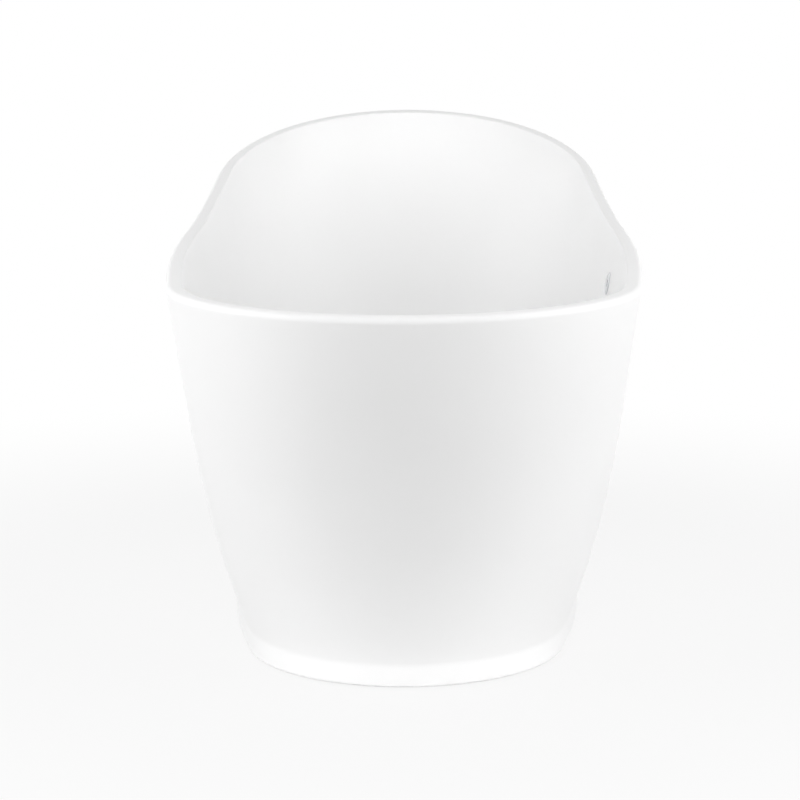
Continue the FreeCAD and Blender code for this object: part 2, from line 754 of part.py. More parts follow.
node("frame_nuts", group("frame_nuts", frame_nuts))
node("lock_nuts", group("lock_nuts", lock_nuts))


# Brackets from the frame to blocks inside the plinth

BRACKETS = (
    # name, wall's distance, its direction in degrees from +X, place along Y, frame's distance, its level
    ("left", PLINTH["half_width"], 180, "widest_station", RAIL_STATION, RAIL_LEVEL),
    ("right", PLINTH["half_width"], 0, "widest_station", RAIL_STATION, RAIL_LEVEL),
    ("foot", PLINTH["foot"], 270, "0", CROSS_STATION, "cross_level"),
    ("head", PLINTH["head"], 90, "0", CROSS_STATION, "cross_level"),
)


def bracket_body(name, wall, frame, level):
    """An angle bracket: its upright leg faces +X, and its flat leg runs back under the frame tube."""
    face = f"({wall} - skirt_skin - bond_gap - block_thick)"
    inner = f"({frame} - tube_side / 2)"
    body = new_body(f"bracket_{name}")
    side = new_sketch(body, f"bracket_{name}_side", "XZ_Plane")
    corners = [
        (face, "bracket_low"),
        (face, level),
        (inner, level),
        (inner, f"{level} - bracket_thick"),
        (f"{face} - bracket_thick", f"{level} - bracket_thick"),
        (f"{face} - bracket_thick", "bracket_low"),
    ]
    outline(side, corners)
    pad(body, side, "bracket_width")
    bend = (value(f"{face} - bracket_thick"), value(f"{level} - bracket_thick"))

    def inside_bend(edge):
        middle = edge.CenterOfMass
        return math.hypot(middle.x - bend[0], middle.z - bend[1]) < CLOSE

    round_edges(body, "bracket_bend", inside_bend)
    spots = new_sketch(body, f"bracket_{name}_flat_holes", "XY_Plane")
    upright = new_sketch(body, f"bracket_{name}_upright_holes", "YZ_Plane")
    for sign in ("-", ""):
        circle(spots, frame, f"{sign}bracket_screw_spread", SCREW_HOLE)
        circle(upright, f"{sign}bracket_screw_spread", "block_screw_level", SCREW_HOLE)
    drill(body, spots)
    drill(body, upright)
    return body, face


plinth_room = plinth_prism(value("skirt_skin + bond_gap"), value("block_low"), value("block_high"))
bracket_screws = []
for name, wall, degrees, station, frame, level in BRACKETS:
    bracket, face = bracket_body(name, wall, frame, level)
    turn = Rotation(Z_AXIS, degrees)
    seat = Vector(0, value(station), 0)
    bracket.Placement = Placement(seat, turn)
    node(f"bracket_{name}", bracket)
    wood = Part.makeBox(
        value("block_thick + overrun"),
        value("block_width"),
        value("block_high - block_low"),
        Vector(value(face), -value("block_width") / 2, value("block_low")),
    )
    for sign in (-1, 1):
        drilling = Part.makeCylinder(
            value(SCREW_HOLE),
            value("block_screw_grip - bracket_thick + screw_gap"),
            Vector(value(face), sign * value("bracket_screw_spread"), value("block_screw_level")),
            X_AXIS,
        )
        wood = wood.cut(drilling)
        flat = screw(f"{name}_tube_screw_{sign + 2}", "bracket_thick + tube_screw_grip", "0", "0", "0")
        spot = Vector(value(frame), sign * value("bracket_screw_spread"), value(f"{level} - bracket_thick"))
        flat.Placement = Placement(seat + turn.multVec(spot), turn)
        deep = screw(f"{name}_block_screw_{sign + 2}", "block_screw_grip", "0", "0", "0")
        spot = Vector(
            value(f"{face} - bracket_thick"), sign * value("bracket_screw_spread"), value("block_screw_level")
        )
        deep.Placement = Placement(seat + turn.multVec(spot), turn * Rotation(Y_AXIS, 90))
        bracket_screws += [flat, deep]
    wood.Placement = Placement(seat, turn)
    node(f"skirt_block_{name}", solid_feature(f"skirt_block_{name}", wood.common(plinth_room)))
node("bracket_screws", group("bracket_screws", bracket_screws))


# Waste: flange, gaskets, nut, pop-up cap and body under the bath's floor

WASTE = {"y": "waste_station"}
WASTE_BORE = "(waste_tube_radius - waste_tube_wall)"
UNDER_FLANGE = f"({BATH_FLOOR} + gasket_thick)"
FLANGE_TOP = f"({UNDER_FLANGE} + flange_thick)"
SEAL_LEVEL = f"({FLANGE_TOP} + seal_gap)"
CAP_LEVEL = f"({SEAL_LEVEL} + seal_thick)"
HUB_TOP = "(spider_level + spider_height)"
SPINDLE_TOP = f"({HUB_TOP} + spindle_height)"


def flange_body():
    """The flange and its tube in one turning, with a two-bar spider and spindle for the cap's cartridge."""
    body = turned(
        "drain_flange",
        [
            (WASTE_BORE, "waste_tube_end"),
            ("waste_tube_radius", "waste_tube_end"),
            ("waste_tube_radius", UNDER_FLANGE),
            ("flange_radius", UNDER_FLANGE),
            ("flange_radius", FLANGE_TOP),
            (WASTE_BORE, FLANGE_TOP),
        ],
    )
    round_edges(body, "flange_round", on_circle("flange_radius", FLANGE_TOP))
    reach = "(waste_tube_radius - waste_tube_wall / 2)"
    for label, x, y in (("across", reach, "spider_bar / 2"), ("along", "spider_bar / 2", reach)):
        bar = new_sketch(body, f"spider_{label}", "XY_Plane", "spider_level")
        outline(bar, [(f"-{x}", f"-{y}"), (x, f"-{y}"), (x, y), (f"-{x}", y)])
        feature = body.newObject("PartDesign::Pad", f"spider_{label}_bar")
        feature.Profile = bar
        bind(feature, Length="spider_height")
        doc.recompute()
    for label, radius, height in (
        ("hub", "spider_hub_radius", "spider_height"),
        ("spindle", "spindle_radius", "spider_height + spindle_height"),
    ):
        spot = new_sketch(body, f"spider_{label}", "XY_Plane", "spider_level")
        circle(spot, "0", "0", radius)
        feature = body.newObject("PartDesign::Pad", f"spider_{label}_pad")
        feature.Profile = spot
        bind(feature, Length=height)
        doc.recompute()
    return body


node("drain_flange", place(flange_body(), **WASTE))
HOLE_RADIUS = "waste_tube_radius + waste_hole_gap"
node("flange_gasket", ring("flange_gasket", "gasket_radius", HOLE_RADIUS, "gasket_thick", z=BATH_FLOOR, **WASTE))
washer_level = f"({HIGH} - gasket_thick)"
node("drain_washer", ring("drain_washer", "gasket_radius", HOLE_RADIUS, "gasket_thick", z=washer_level, **WASTE))
nut_level = f"({washer_level} - waste_nut_height)"
nut_hex = hexagon("drain_nut_hex", "waste_nut_radius", "waste_nut_height", z=nut_level, **WASTE)
nut_hole = rod(
    "drain_nut_hole",
    "waste_tube_radius + waste_nut_gap",
    "waste_nut_height + overrun * 2",
    z=f"{nut_level} - overrun",
    **WASTE,
)
node("drain_nut", less("drain_nut", nut_hex, nut_hole))

cartridge = turned(
    "click_cartridge",
    [
        ("spindle_radius + socket_gap", HUB_TOP),
        ("cartridge_radius", HUB_TOP),
        ("cartridge_radius", "cartridge_top"),
        ("stem_radius + stem_gap", "cartridge_top"),
        ("stem_radius + stem_gap", f"{SPINDLE_TOP} + socket_shoulder"),
        ("spindle_radius + socket_gap", f"{SPINDLE_TOP} + socket_shoulder"),
    ],
)
node("click_cartridge", place(cartridge, **WASTE))
stem = rod("cap_stem", "stem_radius", f"{CAP_LEVEL} - cartridge_top + stem_grip", z="cartridge_top - stem_grip", **WASTE)
node("cap_stem", stem)
seal = ring("cap_seal", "seal_radius", "seal_inner_radius", "seal_thick", z=SEAL_LEVEL, **WASTE)
node("cap_seal", seal)
cap_points = [
    ("0", CAP_LEVEL),
    ("cap_radius", CAP_LEVEL),
    ("cap_radius", f"{CAP_LEVEL} + cap_thick"),
    ("0", f"{CAP_LEVEL} + cap_thick"),
]
cap = turned("drain_cap", cap_points)
round_edges(cap, "cap_round", on_circle("cap_radius", f"{CAP_LEVEL} + cap_thick"))
node("drain_cap", place(cap, **WASTE))

# Waste body: an upright turning with a side branch for the overflow's pipe

TAIL_STOP = "(body_bottom + tail_socket)"
body_points = [
    ("body_radius", "body_bottom"),
    ("body_radius", "body_top"),
    ("waste_tube_radius + pipe_fit", "body_top"),
    ("waste_tube_radius + pipe_fit", "waste_tube_end - socket_shoulder"),
    (WASTE_BORE, "waste_tube_end - socket_shoulder"),
    (WASTE_BORE, f"{TAIL_STOP} + socket_shoulder + tail_wall"),
    ("tail_radius - tail_wall", f"{TAIL_STOP} + socket_shoulder"),
    ("tail_radius + pipe_fit", f"{TAIL_STOP} + socket_shoulder"),
    ("tail_radius + pipe_fit", "body_bottom"),
]
upright = place(turned("waste_upright", body_points), **WASTE)
BRANCH_RADIUS = "(pipe_radius + pipe_fit + branch_wall)"
AT_BRANCH = {"y": "waste_station", "z": "pipe_level", "axis": Y_AXIS, "angle": 90}
inside = "(body_radius + waste_tube_radius) / 2"
branch = rod("branch_outside", BRANCH_RADIUS, f"branch_length - {inside}", x=inside, **AT_BRANCH)
flow = rod("branch_flow", "pipe_radius - pipe_wall", "branch_length", **AT_BRANCH)
stop = "(branch_length - branch_socket)"
mouth = rod("branch_mouth", "pipe_radius + pipe_fit", "branch_socket + overrun", x=stop, **AT_BRANCH)
node("drain_body", less("drain_body", joined("waste_tee", upright, branch), flow, mouth))

BEAD_LOW = "(tail_bottom + tail_free)"
tail = turned(
    "tail_pipe",
    [
        ("tail_radius - tail_wall", "tail_bottom"),
        ("tail_radius", "tail_bottom"),
        ("tail_radius", BEAD_LOW),
        ("tail_radius + tail_bead", f"{BEAD_LOW} + tail_bead"),
        ("tail_radius + tail_bead", f"{BEAD_LOW} + tail_bead * 2"),
        ("tail_radius", f"{BEAD_LOW} + tail_bead * 2"),
        ("tail_radius", TAIL_STOP),
        ("tail_radius - tail_wall", TAIL_STOP),
    ],
)
node("tail_pipe", place(tail, **WASTE))


def slip_nut(name, pipe, socket):
    """A slip nut about +Z: it covers the socket's end at zero height, and its lip closes on the pipe."""
    inner, cover = f"{pipe} + pipe_fit", f"{socket} + pipe_fit"
    outer = f"{socket} + pipe_fit + slip_nut_wall"
    face = "(slip_seal_thick + socket_shoulder)"
    nut = turned(
        name,
        [
            (inner, f"{face} + slip_nut_lip"),
            (outer, f"{face} + slip_nut_lip"),
            (outer, "-slip_nut_cover"),
            (cover, "-slip_nut_cover"),
            (cover, face),
            (inner, face),
        ],
    )
    seal_ = ring(f"{name}_seal_ring", socket, inner, "slip_seal_thick", z="socket_shoulder")
    return nut, seal_


tail_nut, tail_seal = slip_nut("tail_nut", "tail_radius", "body_radius")
for label, piece in (("tail_nut", tail_nut), ("tail_seal", tail_seal)):
    node(label, place(piece, z="body_bottom", axis=X_AXIS, angle=180, **WASTE))
branch_nut, branch_seal = slip_nut("branch_nut", "pipe_radius", BRANCH_RADIUS)
for label, piece in (("branch_nut", branch_nut), ("branch_seal", branch_seal)):
    node(label, place(piece, x="branch_length", **AT_BRANCH))

# Overflow: a ring on the wall, a cup behind it and a pipe down to the waste body

face_level = "overflow_wall_gap"
sleeve_end = "-(basin_skin + overflow_gasket_thick + cup_wall + cup_wall)"
overflow_ring = turned(
    "overflow_ring",
    [
        ("overflow_bore_radius", sleeve_end),
        ("overflow_tube_radius", sleeve_end),
        ("overflow_tube_radius", face_level),
        ("overflow_radius", face_level),
        ("overflow_radius", "overflow_edge"),
        ("overflow_crest_radius", "overflow_face"),
        ("overflow_bore_radius", "overflow_edge"),
    ],
)
node("overflow_ring", on_wall(overflow_ring))
behind = "(basin_skin + overflow_wall_gap)"
gasket = ring(
    "overflow_gasket",
    "cup_radius",
    "overflow_tube_radius + overflow_hole_gap",
    "overflow_gasket_thick",
    z=f"-{behind} - overflow_gasket_thick",
)
node("overflow_gasket", on_wall(gasket))
CUP_FACE = f"({behind} + overflow_gasket_thick)"
CUP_BACK = f"({CUP_FACE} + cup_depth)"
SPOUT_DEPTH = f"({CUP_FACE} + cup_depth / 2)"
ALONG_WALL = {"z": f"-{SPOUT_DEPTH}", "axis": Y_AXIS, "angle": 90}
cup = rod("cup_outside", "cup_radius", "cup_depth", z=f"-{CUP_BACK}")
spout = rod("spout_outside", "pipe_radius + pipe_fit + spout_wall", "spout_length", **ALONG_WALL)
room = rod("cup_room", "cup_radius - cup_wall", "cup_depth - cup_wall * 2", z=f"cup_wall - {CUP_BACK}")
eye = rod("cup_eye", "overflow_tube_radius + pipe_fit", "cup_wall * 2 + overrun", z=f"-{CUP_FACE} - cup_wall * 2")
spout_flow = rod("spout_flow", "pipe_radius - pipe_wall", "spout_length", **ALONG_WALL)
spout_stop = "(spout_length - spout_socket)"
spout_mouth = rod("spout_mouth", "pipe_radius + pipe_fit", "spout_socket + overrun", x=spout_stop, **ALONG_WALL)
elbow = less("overflow_body", joined("overflow_cup", cup, spout), room, eye, spout_flow, spout_mouth)
node("overflow_body", on_wall(elbow))


def bent_pipe(radius, start, corner, end, past):
    """A round bar bent once at a corner between two straight runs, each run a distance past its end."""
    first, second = (corner - start).normalize(), (end - corner).normalize()
    half_turn = first.getAngle(second) / 2
    bend = value("pipe_bend_radius")
    inward = (second - first).normalize()
    centre = corner + inward * (bend / math.cos(half_turn))
    tangent = bend * math.tan(half_turn)
    arc_start, arc_end = corner - first * tangent, corner + second * tangent
    begin = start - first * past
    path = [
        Part.makeLine(begin, arc_start),
        Part.Arc(arc_start, centre - inward * bend, arc_end).toShape(),
        Part.makeLine(arc_end, end + second * past),
    ]
    section = Part.Wire(Part.makeCircle(radius, begin, first))
    return Part.Wire(path).makePipeShell([section], True, True)


pipe_start = wall_point - into_bath * value(SPOUT_DEPTH) + down_wall * value(f"{spout_stop} + socket_shoulder")
pipe_drop = (pipe_start.z - value("pipe_level")) / math.cos(wall_tilt)
pipe_corner = pipe_start + down_wall * pipe_drop
pipe_end = Vector(value(f"{stop} + socket_shoulder"), pipe_start.y, value("pipe_level"))
pipe_run = (pipe_start, pipe_corner, pipe_end)
pipe_outside = bent_pipe(value("pipe_radius"), *pipe_run, 0)
pipe_bore = bent_pipe(value("pipe_radius - pipe_wall"), *pipe_run, value("overrun"))
node("overflow_pipe", solid_feature("overflow_pipe", pipe_outside.cut(pipe_bore)))

# Checks, and one file for each piece

doc.recompute()
faults = [obj.Name for obj in doc.Objects if {"Invalid", "Error"} & set(obj.State)]
faults += [name for name, obj in NODES.items() if obj.Shape.isNull() or not obj.Shape.isValid()]
if faults:
    raise RuntimeError(f"unsound: {sorted(set(faults))}")
os.makedirs("parts", exist_ok=True)
for name, obj in NODES.items():
    obj.Shape.exportStep(f"parts/{name}.step")
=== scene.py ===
import json
import math

import bmesh
import bpy
import numpy as np
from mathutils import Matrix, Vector


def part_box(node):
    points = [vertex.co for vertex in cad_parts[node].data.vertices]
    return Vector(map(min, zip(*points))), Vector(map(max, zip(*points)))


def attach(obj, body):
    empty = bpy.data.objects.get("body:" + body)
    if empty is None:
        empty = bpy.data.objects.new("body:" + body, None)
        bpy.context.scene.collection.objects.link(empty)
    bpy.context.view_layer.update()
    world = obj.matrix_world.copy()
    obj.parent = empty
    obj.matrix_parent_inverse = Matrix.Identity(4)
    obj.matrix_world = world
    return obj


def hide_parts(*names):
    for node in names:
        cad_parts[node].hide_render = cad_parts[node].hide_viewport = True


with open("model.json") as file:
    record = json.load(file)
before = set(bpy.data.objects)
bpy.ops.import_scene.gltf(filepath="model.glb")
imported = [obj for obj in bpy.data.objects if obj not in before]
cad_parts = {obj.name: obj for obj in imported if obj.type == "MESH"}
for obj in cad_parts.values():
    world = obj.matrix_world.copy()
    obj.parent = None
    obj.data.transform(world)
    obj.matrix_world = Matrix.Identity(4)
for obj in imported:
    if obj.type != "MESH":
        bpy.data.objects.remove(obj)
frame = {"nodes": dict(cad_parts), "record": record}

bl_info = {
    "name": "Freestanding soaking tub",
    "version": (1, 0, 0),
    "blender": (4, 5, 0),
    "location": "View3D > Sidebar > Tub",
    "description": "Dresses a freestanding soaking tub: shells, waste, overflow, frame and feet",
    "category": "Add Mesh",
}

MM = 0.001
FEET = ("foot_left", "foot_right", "head_left", "head_right")
WAVE_METRE = 6.28  # divides a wave texture's scale, so that each of its bands is 1 m wide
MATERIALS = {}  # filled by main(), one for each of the CAD's material slots and the laminate


# Sizes in millimetres, as in the tub's drawings. A wall is a stack of ovals: each size of an oval
# has four values at four levels, and the cubic through them in between. Stations lie along the
# tub, 0 at its middle and positive toward the head.

OUTER = {
    "level": (38, 327, 617, 787),
    "half_width": (296.45, 361.015, 385, 409.544),
    "foot": (554.024, 696.048, 853, 896.503),
    "head": (573.495, 687.99, 812.005, 852.379),
    "end_radius": (0.86 * 296.45, 0.89 * 361.015, 0.92 * 385, 0.92 * 409.544),
}
INNER = {
    "level": (126, 372, 617, 787),
    "half_width": (250.45, 312.015, 359.5, 384.044),
    "foot": (552.024, 700.048, 827.5, 871.003),
    "head": (469.995, 639.99, 786.505, 826.879),
    "end_radius": (225.405, 287.054, 328.7, 351.28),
}
WIDEST = 80  # station at which every oval is widest

RIM_LOW, RIM_HIGH, HEAD_TIP = 617, 777, 850
RISE_START, RISE_BEND = 315, 200
RIM_LEVELS = (400.0, 800.0)  # every wall meets the rim's line between these

SHELL, RIM_SHELL = 5, 9  # thickness of the walls and of the rim's turned-down lip
LIP = 16  # how far the lip hangs below the rim's edge
INNER_RIM_ROUND, OUTER_RIM_ROUND = 4, 8
BATH_FLOOR, BATH_UNDERSIDE = 126, 120
FLOOR_ROUND, UNDERSIDE_ROUND = 55, 60
PLINTH_TOP, SKIRT_FOOT = 38, 2
CREASE_ROUND, FOOT_ROUND = 30, 3.5

WASTE_STATION, WASTE_RADIUS = 35, 23.5
OVERFLOW_STATION, OVERFLOW_LEVEL, OVERFLOW_RADIUS = 35, 537, 12
CUTTER_LENGTH = 30

STUD_RADIUS, THREAD_RIDGE = 6, 0.25
THREAD_FROM, THREAD_SHORT = 17, 1.5  # from the stud's foot, and short of its top
RIB_DEPTH, RIB_SHORT = 1.4, 2.4  # a rib's depth, and how much shorter it is than its nut
RIB_SHARE = 0.32  # a rib's width, as a share of the way from one rib to the next

# How finely the skins are made
STATIONS = 360
WALL_ROWS, CLIMB_ROWS, SKIRT_ROWS, BACK_ROWS = 60, 70, 80, 40
ROUND_GAP, CREASE_GAP = 3, 1  # least rise from a round to the wall's next row
HALVINGS, OVERFLOW_STEPS = 40, 30  # steps of the searches for the rim and for the overflow
GIRTH = 4000  # about the way round the bath, which sets how far one of the latter's steps goes
SHARP_EDGE = 32  # degrees

# Stage, in metres and degrees
FLOOR_LEVEL, FLOOR_REACH = -0.0005, 30.0
SHADOW_FROM, SHADOW_TO = 0.6, 1.9  # where the floor's shadow starts and ends its fade
CAMERA_PLACE = (0.0207, -4.187, 1.1351)
CAMERA_YAW, CAMERA_PITCH = 0.966, 12.104
CAMERA_SHIFT, CAMERA_SENSOR = (-0.075, 0.075), 36.0
# Each softbox: name, place, aim, width and height, angle of its beam, setting with its power
SOFTBOXES = (
    ("left_softbox", (-3.0, -1.1, 1.5), (0, 0, 0.4), (2.4, 2.0), 180, "side_light"),
    ("right_softbox", (3.0, -1.1, 1.5), (0, 0, 0.4), (2.4, 2.0), 180, "side_light"),
    ("front_softbox", (0, -4.1, 1.5), (0, -0.85, -0.3), (4.4, 2.6), 60, "front_light"),
    ("top_softbox", (0, 0.3, 2.6), (0, 0.1, 0.3), (1.4, 1.4), 180, "top_light"),
)


# Colours and shader nodes


def linear(hex_colour):
    """An sRGB hex colour as linear RGBA."""
    channels = [int(hex_colour[i : i + 2], 16) / 255 for i in (1, 3, 5)]
    return (*(c / 12.92 if c <= 0.04045 else ((c + 0.055) / 1.055) ** 2.4 for c in channels), 1.0)


WHITE = linear("#ffffff")


def dimmed(colour, share):
    """A linear colour at this share of its brightness."""
    return (*(share * c for c in colour[:3]), 1.0)


def feed(tree, node, inputs):
    """Gives a node's inputs, by name or number, what they take: a plain value, a socket to link
    or a node whose first output is linked."""
    for name, source in inputs.items():
        if isinstance(source, bpy.types.Node):
            source = source.outputs[0]
        if isinstance(source, bpy.types.NodeSocket):
            tree.links.new(source, node.inputs[name])
        else:
            node.inputs[name].default_value = source


def add(tree, kind, inputs=None, stops=(), **properties):
    """Adds a node with its properties, its inputs and, on a colour ramp, its stops, which are
    (position, linear colour) pairs."""
    node = tree.nodes.new(kind)
    for name, value in properties.items():
        setattr(node, name, value)
    for _ in stops[2:]:
        node.color_ramp.elements.new(0.5)
    for i, (position, colour) in enumerate(stops):
        node.color_ramp.elements[i].position = position
        node.color_ramp.elements[i].color = colour
    feed(tree, node, inputs or {})
    return node


def new_material(name):
    """A material with its node tree, its Principled shader and Object coordinates in metres."""
    material = bpy.data.materials.new(name)
    material.use_nodes = True
    tree = material.node_tree
    place = add(tree, "ShaderNodeTexCoord").outputs["Object"]
    return material, tree, tree.nodes["Principled BSDF"], place


def per_mm(size):
    """Texture scale at which a cell of a pattern is about this many millimetres."""
    return 1 / (size * MM)


# Materials


def sanitary_acrylic(colour):
    """Cast sanitary acrylic, vacuum formed: white to its depth, glossy, with a faint slow wave."""
    material, tree, shader, place = new_material("cast_sanitary_acrylic_formed")
    wave = add(tree, "ShaderNodeTexNoise", {"Vector": place, "Scale": per_mm(160), "Detail": 1.0})
    peel = add(tree, "ShaderNodeTexNoise", {"Vector": place, "Scale": per_mm(6), "Detail": 2.0})
    stops = [(0.3, dimmed(colour, 0.985)), (0.7, colour)]
    tone = add(tree, "ShaderNodeValToRGB", {"Fac": wave}, stops)
    rough = add(tree, "ShaderNodeMapRange", {"Value": peel, "To Min": 0.27, "To Max": 0.30})
    high = add(tree, "ShaderNodeMath", {0: wave, 1: 8.0, 2: peel}, operation="MULTIPLY_ADD")
    relief = add(tree, "ShaderNodeBump", {"Height": high, "Strength": 0.3, "Distance": 0.004 * MM})
    feed(tree, shader, {"Base Color": tone, "Roughness": rough, "IOR": 1.49, "Normal": relief})
    return material


def glass_fibre_laminate():
    """Sprayed glass fibre and polyester resin: milky, matt, with chopped strands showing."""
    material, tree, shader, place = new_material("sprayed_glass_fibre_laminate")
    inputs = {"Vector": place, "Scale": per_mm(9)}
    strand = add(tree, "ShaderNodeTexVoronoi", inputs, feature="DISTANCE_TO_EDGE")
    cloud = add(tree, "ShaderNodeTexNoise", {"Vector": place, "Scale": per_mm(30), "Detail": 6.0})
    fine = add(tree, "ShaderNodeTexNoise", {"Vector": place, "Scale": per_mm(2), "Detail": 3.0})
    stops = [(0.35, linear("#d9d8cc")), (0.65, linear("#efeee4"))]
    tone = add(tree, "ShaderNodeValToRGB", {"Fac": cloud}, stops)
    high = add(tree, "ShaderNodeMath", {0: strand, 1: 3.0, 2: fine}, operation="MULTIPLY_ADD")
    relief = add(tree, "ShaderNodeBump", {"Height": high, "Strength": 0.6, "Distance": 0.5 * MM})
    feed(tree, shader, {"Base Color": tone, "Roughness": 0.62, "Normal": relief})
    return material


def chrome_plate(colour):
    """Polished brass under bright chrome: a mirror with a trace of polishing haze."""
    material, tree, shader, place = new_material("polished_chrome_plate_on_brass")
    haze = add(tree, "ShaderNodeTexNoise", {"Vector": place, "Scale": per_mm(3), "Detail": 4.0})
    rough = add(tree, "ShaderNodeMapRange", {"Value": haze, "To Min": 0.05, "To Max": 0.12})
    feed(tree, shader, {"Base Color": colour, "Metallic": 1.0, "Roughness": rough})
    return material


def turned_brass():
    """Turned brass: warm yellow metal with fine lathe rings along its axis."""
    # Real lathe marks are a tenth of this and wouldn't show
    material, tree, shader, place = new_material("turned_brass")
    inputs = {"Vector": place, "Scale": per_mm(1.2) / WAVE_METRE}
    rings = add(tree, "ShaderNodeTexWave", inputs, bands_direction="Z").outputs["Fac"]
    rough = add(tree, "ShaderNodeMapRange", {"Value": rings, "To Min": 0.22, "To Max": 0.34})
    relief = add(tree, "ShaderNodeBump", {"Height": rings, "Strength": 0.5, "Distance": 0.02 * MM})
    feed(tree, shader, {"Base Color": linear("#c9a45a"), "Metallic": 1.0})
    feed(tree, shader, {"Roughness": rough, "Normal": relief})
    return material


def rubber():
    """Moulded black EPDM rubber: dark, matt, with a little bloom."""
    material, tree, shader, place = new_material("moulded_black_rubber")
    bloom = add(tree, "ShaderNodeTexNoise", {"Vector": place, "Scale": per_mm(8), "Detail": 4.0})
    grain = add(tree, "ShaderNodeTexNoise", {"Vector": place, "Scale": per_mm(0.6), "Detail": 2.0})
    stops = [(0.4, linear("#1b1b1c")), (0.7, linear("#2a2a2c"))]
    tone = add(tree, "ShaderNodeValToRGB", {"Fac": bloom}, stops)
    rough = add(tree, "ShaderNodeMapRange", {"Value": bloom, "To Min": 0.6, "To Max": 0.8})
    relief = add(tree, "ShaderNodeBump", {"Height": grain, "Strength": 0.5, "Distance": 0.04 * MM})
    feed(tree, shader, {"Base Color": tone, "Roughness": rough, "Normal": relief})
    return material


def moulded_plastic(name, colour, grain_size, shine):
    """Injection-moulded plastic with a spark-eroded grain: even colour, soft sheen."""
    # The grain is drawn a few times as coarse as a real one, which wouldn't show
    material, tree, shader, place = new_material(name)
    inputs = {"Vector": place, "Scale": per_mm(grain_size), "Detail": 3.0}
    grain = add(tree, "ShaderNodeTexNoise", inputs)
    cloud = add(tree, "ShaderNodeTexNoise", {"Vector": place, "Scale": per_mm(40), "Detail": 2.0})
    stops = [(0.3, dimmed(colour, 0.93)), (0.7, colour)]
    tone = add(tree, "ShaderNodeValToRGB", {"Fac": cloud}, stops)
    inputs = {"Value": grain, "To Min": shine - 0.06, "To Max": shine + 0.08}
    rough = add(tree, "ShaderNodeMapRange", inputs)
    relief = add(tree, "ShaderNodeBump", {"Height": grain, "Strength": 0.4, "Distance": 0.05 * MM})
    feed(tree, shader, {"Base Color": tone, "Roughness": rough, "IOR": 1.5, "Normal": relief})
    return material


def particle_board():
    """Raw particle board: pressed pine chips, lighter and darker, with dark flecks of bark."""
    material, tree, shader, place = new_material("raw_particle_board")
    chips = add(tree, "ShaderNodeTexVoronoi", {"Vector": place, "Scale": per_mm(5)})
    flakes = add(tree, "ShaderNodeTexNoise", {"Vector": place, "Scale": per_mm(2), "Detail": 5.0})
    shade = add(tree, "ShaderNodeSeparateColor", {"Color": chips.outputs["Color"]})
    bark, dark, middle, pale = (linear(c) for c in ("#8d6a41", "#b58e5e", "#cba877", "#dcc193"))
    stops = [(0.0, bark), (0.12, dark), (0.6, middle), (1.0, pale)]
    tone = add(tree, "ShaderNodeValToRGB", {"Fac": shade.outputs["Red"]}, stops)
    relief = add(tree, "ShaderNodeBump", {"Height": flakes, "Strength": 0.6, "Distance": 0.3 * MM})
    feed(tree, shader, {"Base Color": tone, "Roughness": 0.85, "Normal": relief})
    return material


def planed_softwood():
    """Planed softwood block: straight growth rings of pale early and darker late wood."""
    material, tree, shader, place = new_material("planed_softwood")
    drift = add(tree, "ShaderNodeTexNoise", {"Vector": place, "Scale": per_mm(60), "Detail": 2.0})
    inputs = {"Factor": 0.02, 4: place, 5: drift.outputs["Color"]}
    bent = add(tree, "ShaderNodeMix", inputs, data_type="VECTOR").outputs[1]
    inputs = {"Vector": bent, "Scale": per_mm(4) / WAVE_METRE, "Distortion": 1.5}
    rings = add(tree, "ShaderNodeTexWave", inputs, bands_direction="Z").outputs["Fac"]
    stops = [(0.3, linear("#d9b98a")), (0.9, linear("#b98a55"))]
    tone = add(tree, "ShaderNodeValToRGB", {"Fac": rings}, stops)
    relief = add(tree, "ShaderNodeBump", {"Height": rings, "Strength": 0.4, "Distance": 0.08 * MM})
    feed(tree, shader, {"Base Color": tone, "Roughness": 0.6, "Normal": relief})
    return material


def powder_coat():
    """Powder-coated steel tube: grey, satin, with a fine orange-peel skin."""
    material, tree, shader, place = new_material("grey_powder_coated_steel")
    peel = add(tree, "ShaderNodeTexNoise", {"Vector": place, "Scale": per_mm(1.6), "Detail": 2.0})
    dust = add(tree, "ShaderNodeTexNoise", {"Vector": place, "Scale": per_mm(50), "Detail": 4.0})
    stops = [(0.35, linear("#8d9194")), (0.7, linear("#a3a7aa"))]
    tone = add(tree, "ShaderNodeValToRGB", {"Fac": dust}, stops)
    rough = add(tree, "ShaderNodeMapRange", {"Value": dust, "To Min": 0.38, "To Max": 0.52})
    relief = add(tree, "ShaderNodeBump", {"Height": peel, "Strength": 0.5, "Distance": 0.06 * MM})
    feed(tree, shader, {"Base Color": tone, "Roughness": rough, "Normal": relief})
    return material


def galvanised_steel():
    """Hot-dip galvanised strip: cool grey metal with crystal spangle."""
    material, tree, shader, place = new_material("galvanised_steel_strip")
    spangle = add(tree, "ShaderNodeTexVoronoi", {"Vector": place, "Scale": per_mm(9)})
    split = add(tree, "ShaderNodeSeparateColor", {"Color": spangle.outputs["Color"]})
    shade = split.outputs["Red"]
    stops = [(0.0, linear("#a4a9ac")), (1.0, linear("#c8cccf"))]
    tone = add(tree, "ShaderNodeValToRGB", {"Fac": shade}, stops)
    rough = add(tree, "ShaderNodeMapRange", {"Value": shade, "To Min": 0.32, "To Max": 0.52})
    feed(tree, shader, {"Base Color": tone, "Metallic": 1.0, "Roughness": rough})
    return material


